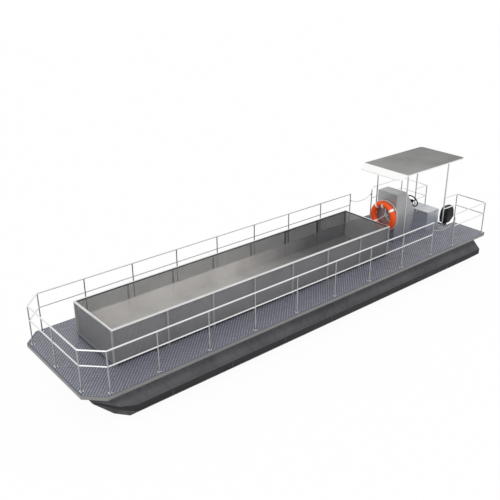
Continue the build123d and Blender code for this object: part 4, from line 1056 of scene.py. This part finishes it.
class WORKBOAT_OT_helm(bpy.types.Operator):
    """Finishes console, seat box and wheel, and fits gauges, switches and the throttle"""

    bl_idname = "workboat.helm"
    bl_label = "Helm"

    # The dash slopes from its lower aft edge up to the console's top
    DASH_FOOT, DASH_HEAD = (1.776, 0, 0.800), (2.165, 0, 1.374)
    GAUGES_UP, GAUGE_PITCH = 0.40, 0.17
    SWITCHES_UP, SWITCH_START, SWITCH_PITCH, SWITCH_COUNT = 0.25, 0.06, 0.045, 5
    LOCK_Y = -0.10
    # Turned profiles of a gauge: height over the dash, and radius in gauge radii
    BEZEL = ((-0.001, 1.12), (0.010, 1.12), (0.013, 1.05), (0.013, 0.94), (0.006, 0.90), (-0.001, 0.90))
    FACE = ((-0.001, 0.0), (-0.001, 0.91), (0.004, 0.91), (0.004, 0.0))
    # Turned profiles in metres: height and radius
    HUB = ((0.004, 0.0), (0.004, 0.005), (0.008, 0.004), (0.008, 0.0))
    LOCK = ((-0.001, 0.016), (0.006, 0.016), (0.008, 0.012), (0.004, 0.006), (0.004, 0.0))
    KNOB = ((-0.001, 0.019), (0.004, 0.019), (0.006, 0.015), (0.006, 0.0))
    SIDE_Y = -0.330
    # Outlines of the door, in x and z, and of the lid, in x and y: two corners and the seam's width
    DOOR = (2.03, 0.10, 2.45, 0.70, 0.005)
    LID = (0.6592, -0.3708, 1.1808, 0.3708, 0.0016)
    LID_Z, LID_SEAM = 0.492, 0.003

    def execute(self, context):
        settings = context.scene.workboat_helm
        dark = moulded("dark grip", settings.dark, (0.45, 0.60), gloss=0.08)
        # The colours given last are the painted shade, with the deck's reflection, at the feet of the console's and the
        # seat box's sides.
        dress(["console"], sheet_material("console steel", settings.steel, (0.66, 0.69, 0.80, 1)))
        dress(["seat_box"], sheet_material("seat steel", settings.seat, (0.90, 0.93, 1.0, 1)))
        dress(["steering_wheel"], dark)
        dress(["steering_column"], painted("column paint", settings.dark, stain=1.6, scale=8.0))
        chrome = brushed("bright bezel", (0.78, 0.78, 0.79), SMALL_GRAIN, rough=(0.08, 0.16), bump=0.01)
        self.add_dash(settings.gauge_radius, chrome, dark, moulded("dial face", settings.dial, (0.35, 0.5)))
        self.add_throttle(chrome, dark)
        self.add_doors(chrome, dark)
        return {"FINISHED"}

    def add_dash(self, radius, chrome, dark, dial):
        """Three gauges, a row of switches and the key's lock."""
        foot = at(*self.DASH_FOOT)
        up = (at(*self.DASH_HEAD) - foot).normalized()
        out = Vector((-up.z, 0, up.x))
        side = Vector((0, 1, 0))
        bezels, faces, needles = bmesh.new(), bmesh.new(), bmesh.new()
        for i in (-1, 0, 1):
            middle = foot + up * self.GAUGES_UP + side * i * self.GAUGE_PITCH
            add_lathe(bezels, middle, out, [(height, radius * share) for height, share in self.BEZEL])
            add_lathe(faces, middle, out, [(height, radius * share) for height, share in self.FACE])
            add_lathe(needles, middle, out, self.HUB, 12)
            # Nine marks and the pointer: angle, height, start and end in gauge radii, radius at both ends
            rows = [(90 + step * 30, 0.0044, 0.74, 0.86, 0.0009, 0.0009) for step in range(-4, 5)]
            for angle, height, start, end, thick, thin in rows + [(130, 0.006, 0.0, 0.66, 0.0016, 0.0006)]:
                spoke = (side * math.cos(math.radians(angle)) + up * math.sin(math.radians(angle))) * radius
                lifted = middle + out * height
                add_rod(needles, lifted + spoke * start, lifted + spoke * end, thick, 6, thin)
        row = foot + up * self.SWITCHES_UP
        for i in range(self.SWITCH_COUNT):
            low = row + side * (self.SWITCH_START + self.SWITCH_PITCH * i)
            add_rod(needles, low - out * 0.001, low + out * 0.006, 0.011, 20)
            add_rod(needles, low + out * 0.006, low + out * 0.022 + up * 0.006, 0.0035, 10)
        add_lathe(bezels, row + side * self.LOCK_Y, out, self.LOCK, 24)
        piece("gauge_bezels", bezels, chrome, smooth=40)
        piece("gauge_faces", faces, dial)
        piece("gauge_needles_and_switches", needles, dark, smooth=40)

    def add_throttle(self, chrome, dark):
        """A side-mounted control box with its lever, on the console's starboard side."""
        y = self.SIDE_Y
        housing, lever = bmesh.new(), bmesh.new()
        add_fittings(housing, [((1.86, y - 0.045, 0.80), (1.98, y + 0.001, 0.98), 0.014)],
                     [((1.92, y - 0.045, 0.89), (1.92, y - 0.060, 0.89), 0.030, 32),
                      ((1.90, y - 0.066, 1.10), (1.88, y - 0.020, 1.115), 0.017, 20)])
        add_fittings(lever, rods=[((1.92, y - 0.064, 0.885), (1.898, y - 0.064, 1.10), 0.0085, 16),
                                  ((1.92, y - 0.058, 0.89), (1.92, y - 0.070, 0.89), 0.014, 24)])
        piece("throttle_housing", housing, dark, smooth=40)
        piece("throttle_lever", lever, chrome, smooth=40)

    def add_doors(self, chrome, dark):
        """A service door on the console's starboard side and a lid line, hinges and a catch on the seat box."""
        y = self.SIDE_Y
        seams, fittings = bmesh.new(), bmesh.new()
        for x0, z0, x1, z1 in outline_bars(*self.DOOR):
            add_box(seams, at(x0, y - 0.0006, z0), at(x1, y + 0.001, z1))
        for x0, y0, x1, y1 in outline_bars(*self.LID):
            add_box(seams, at(x0, y0, self.LID_Z), at(x1, y1, self.LID_Z + self.LID_SEAM))
        for z in (0.18, 0.58):
            add_fittings(fittings, [((2.432, y - 0.003, z), (2.475, y + 0.001, z + 0.06), 0.001)],
                         [((2.4475, y - 0.004, z), (2.4475, y - 0.004, z + 0.06), 0.0045, 12)])
        add_lathe(fittings, at(2.075, y, 0.40), (0, -1, 0), self.KNOB, 24)
        for hinge_y in (-0.22, 0.22):
            add_fittings(fittings, [((0.6565, hinge_y - 0.03, 0.47), (0.661, hinge_y + 0.03, 0.515), 0.001)],
                         [((0.656, hinge_y - 0.03, 0.4935), (0.656, hinge_y + 0.03, 0.4935), 0.0045, 12)])
        add_fittings(fittings, [((2.068, y - 0.014, 0.375), (2.082, y - 0.006, 0.425), 0.003),
                                ((1.179, -0.022, 0.455), (1.186, 0.022, 0.520), 0.002)],
                     [((1.188, -0.014, 0.475), (1.188, 0.014, 0.475), 0.004, 12)])
        piece("door_and_lid_seams", seams, dark)
        piece("hinges_and_catches", fittings, chrome, smooth=40)


class WORKBOAT_OT_lifebuoy(bpy.types.Operator):
    """Colours the lifebuoy and its holder"""

    bl_idname = "workboat.lifebuoy"
    bl_label = "Lifebuoy"

    def execute(self, context):
        settings = context.scene.workboat_lifebuoy
        dress(["lifebuoy_ring"], moulded("ring shell", settings.shell, (0.36, 0.52), stain=0.86, scale=5.0, gloss=0.3))
        dress(["lifebuoy_bands"], moulded("ring band", settings.band, (0.45, 0.60)))
        dress(["lifebuoy_holder"], painted("holder paint", settings.holder, stain=0.75, scale=6.0))
        return {"FINISHED"}


class WORKBOAT_OT_motor(bpy.types.Operator):
    """Finishes the outboard motor: cowl seam, air intake, catch, clamp handles and propeller nut"""

    bl_idname = "workboat.motor"
    bl_label = "Outboard motor"

    # The seam strip's rows: height over the cowl's foot and how far it stands out from the cowl's box
    SEAM = ((0.148, -0.005), (0.150, -0.0003), (0.163, -0.0003), (0.165, -0.006))
    SEAM_CORNER = 0.0895
    # The nut's profile: distance aft of the propeller's end and radius
    NUT = ((-0.001, 0.0), (-0.001, 0.022), (0.002, 0.022), (0.003, 0.015), (0.014, 0.015), (0.020, 0.008), (0.022, 0.0))
    SHAFT_Z = -0.728
    INTAKE_SUNK, INTAKE_WIDTH, LOUVRE_SLANT = 0.0078, 0.124, -28

    def execute(self, context):
        settings = context.scene.workboat_motor
        casting = painted("motor casting", settings.casting, stain=1.7, scale=6.0, rough=(0.34, 0.52), bump=0.4)
        dress(["motor_cowl"], moulded("cowl shell", settings.cowl, (0.34, 0.48), stain=1.4, scale=4.0, bump=0.04,
                                      gloss=0.12))
        dress(["motor_leg", "swivel_bracket", "clamp_bracket"], casting)
        dress(["propeller"], painted("propeller paint", settings.propeller, stain=1.8, scale=14.0, rough=(0.30, 0.46)))
        dress(["powerhead"], painted("engine iron", (0.10, 0.10, 0.10), scale=8.0, bump=0.8))
        rubber = moulded("seam rubber", (0.03, 0.03, 0.03), (0.6, 0.8))
        steel = brushed("motor steel", (0.60, 0.60, 0.61), SMALL_GRAIN, rough=(0.2, 0.35))
        low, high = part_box("motor_cowl")
        self.add_cowl_seam(low, high, rubber)
        self.add_intake(low, settings.louvre_count, casting)
        self.add_small_parts(low, high, steel, rubber)
        return {"FINISHED"}

    def add_cowl_seam(self, low, high, rubber):
        """A soft strip round the cowl over its widest section."""
        build = bmesh.new()
        middle, half = (low + high) / 2, (high - low) / 2
        rings = []
        for z, grow in self.SEAM:
            reach_x, reach_y = half.x + grow - self.SEAM_CORNER, half.y + grow - self.SEAM_CORNER
            ring = []
            for quarter, (sx, sy) in enumerate(((1, 1), (-1, 1), (-1, -1), (1, -1))):
                for step in range(9):
                    angle = math.radians(90 * quarter + step * 90 / 8)
                    x, y = sx * reach_x + self.SEAM_CORNER * math.cos(angle), self.SEAM_CORNER * math.sin(angle)
                    ring.append(build.verts.new((middle.x + x, sy * reach_y + y, low.z + z)))
            rings.append(ring)
        skin(build, rings, closed=True)
        piece("cowl_seam", build, rubber, body="motor_head", smooth=50)

    def add_intake(self, low, count, casting):
        """A louvred air intake on the cowl's aft face."""
        build = bmesh.new()
        x, z0, z1 = low.x + self.INTAKE_SUNK, low.z + 0.20, low.z + 0.32
        half, bar = self.INTAKE_WIDTH / 2, 0.010
        for y0, y1, za, zb in ((-half - bar, half + bar, z0 - bar, z0), (-half - bar, half + bar, z1, z1 + bar),
                               (-half - bar, -half, z0, z1), (half, half + bar, z0, z1)):
            add_box(build, (x - 0.006, y0, za), (x + 0.012, y1, zb), bevel=0.002)
        slant = Matrix.Rotation(math.radians(self.LOUVRE_SLANT), 4, "Y")
        for i in range(count):
            z = z0 + (i + 0.5) * (z1 - z0) / count
            add_box(build, (x - 0.004, -half, z - 0.0035), (x + 0.014, half, z + 0.0035), bevel=0.0015, turn=slant)
        piece("cowl_air_intake", build, casting, body="motor_head", smooth=40)

    def add_small_parts(self, low, high, steel, rubber):
        """Clamp handles on the bracket, a catch on the cowl and a nut on the propeller's shaft."""
        clamps, catch, nut = bmesh.new(), bmesh.new(), bmesh.new()
        for y in (-0.079, 0.079):
            add_fittings(clamps, rods=[((0.108, y, -0.352), (0.108, y, -0.288), 0.005, 12),
                                       ((0.096, y, -0.320), (0.118, y, -0.320), 0.011, 16)])
        add_box(catch, (high.x - 0.014, -0.022, low.z + 0.036), (high.x - 0.002, 0.022, low.z + 0.085), bevel=0.003)
        add_lathe(nut, (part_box("propeller")[0].x, 0, DECK_Z + self.SHAFT_Z), (-1, 0, 0), self.NUT, 24)
        piece("clamp_handles", clamps, steel, smooth=40)
        piece("cowl_catch", catch, rubber, body="motor_head", smooth=40)
        piece("propeller_nut", nut, steel, body="propeller_body", smooth=40)


class WORKBOAT_PT_panel(bpy.types.Panel):
    """Lists the boat's steps and settings in the sidebar"""

    bl_idname = "WORKBOAT_PT_panel"
    bl_label = "Work boat"
    bl_space_type = "VIEW_3D"
    bl_region_type = "UI"
    bl_category = "Work boat"

    def draw(self, context):
        for operator, group in STEPS:
            box = self.layout.box()
            box.operator(operator.bl_idname)
            if group is None:
                continue
            settings = getattr(context.scene, group)
            for name in settings.__annotations__:
                box.prop(settings, name)


GROUPS = {
    "workboat_deck": DeckSettings, "workboat_rails": RailSettings, "workboat_hopper": HopperSettings,
    "workboat_canopy": CanopySettings, "workboat_helm": HelmSettings, "workboat_lifebuoy": LifebuoySettings,
    "workboat_motor": MotorSettings, "workboat_stage": StageSettings,
}
STEPS = [
    (WORKBOAT_OT_trees, None), (WORKBOAT_OT_stage, "workboat_stage"), (WORKBOAT_OT_ropes, None),
    (WORKBOAT_OT_hull, None), (WORKBOAT_OT_deck, "workboat_deck"), (WORKBOAT_OT_rails, "workboat_rails"),
    (WORKBOAT_OT_hopper, "workboat_hopper"), (WORKBOAT_OT_canopy, "workboat_canopy"),
    (WORKBOAT_OT_helm, "workboat_helm"), (WORKBOAT_OT_lifebuoy, "workboat_lifebuoy"),
    (WORKBOAT_OT_motor, "workboat_motor"),
]
CLASSES = [*GROUPS.values(), *(operator for operator, _ in STEPS), WORKBOAT_PT_panel]


def register():
    for cls in CLASSES:
        bpy.utils.register_class(cls)
    for name, group in GROUPS.items():
        setattr(bpy.types.Scene, name, PointerProperty(type=group))


def unregister():
    for name in GROUPS:
        delattr(bpy.types.Scene, name)
    for cls in reversed(CLASSES):
        bpy.utils.unregister_class(cls)


def main():
    """Builds the whole scene."""
    register()
    for operator, _ in STEPS:
        folder, name = operator.bl_idname.split(".")
        getattr(getattr(bpy.ops, folder), name)()


if __name__ == "__main__":
    main()
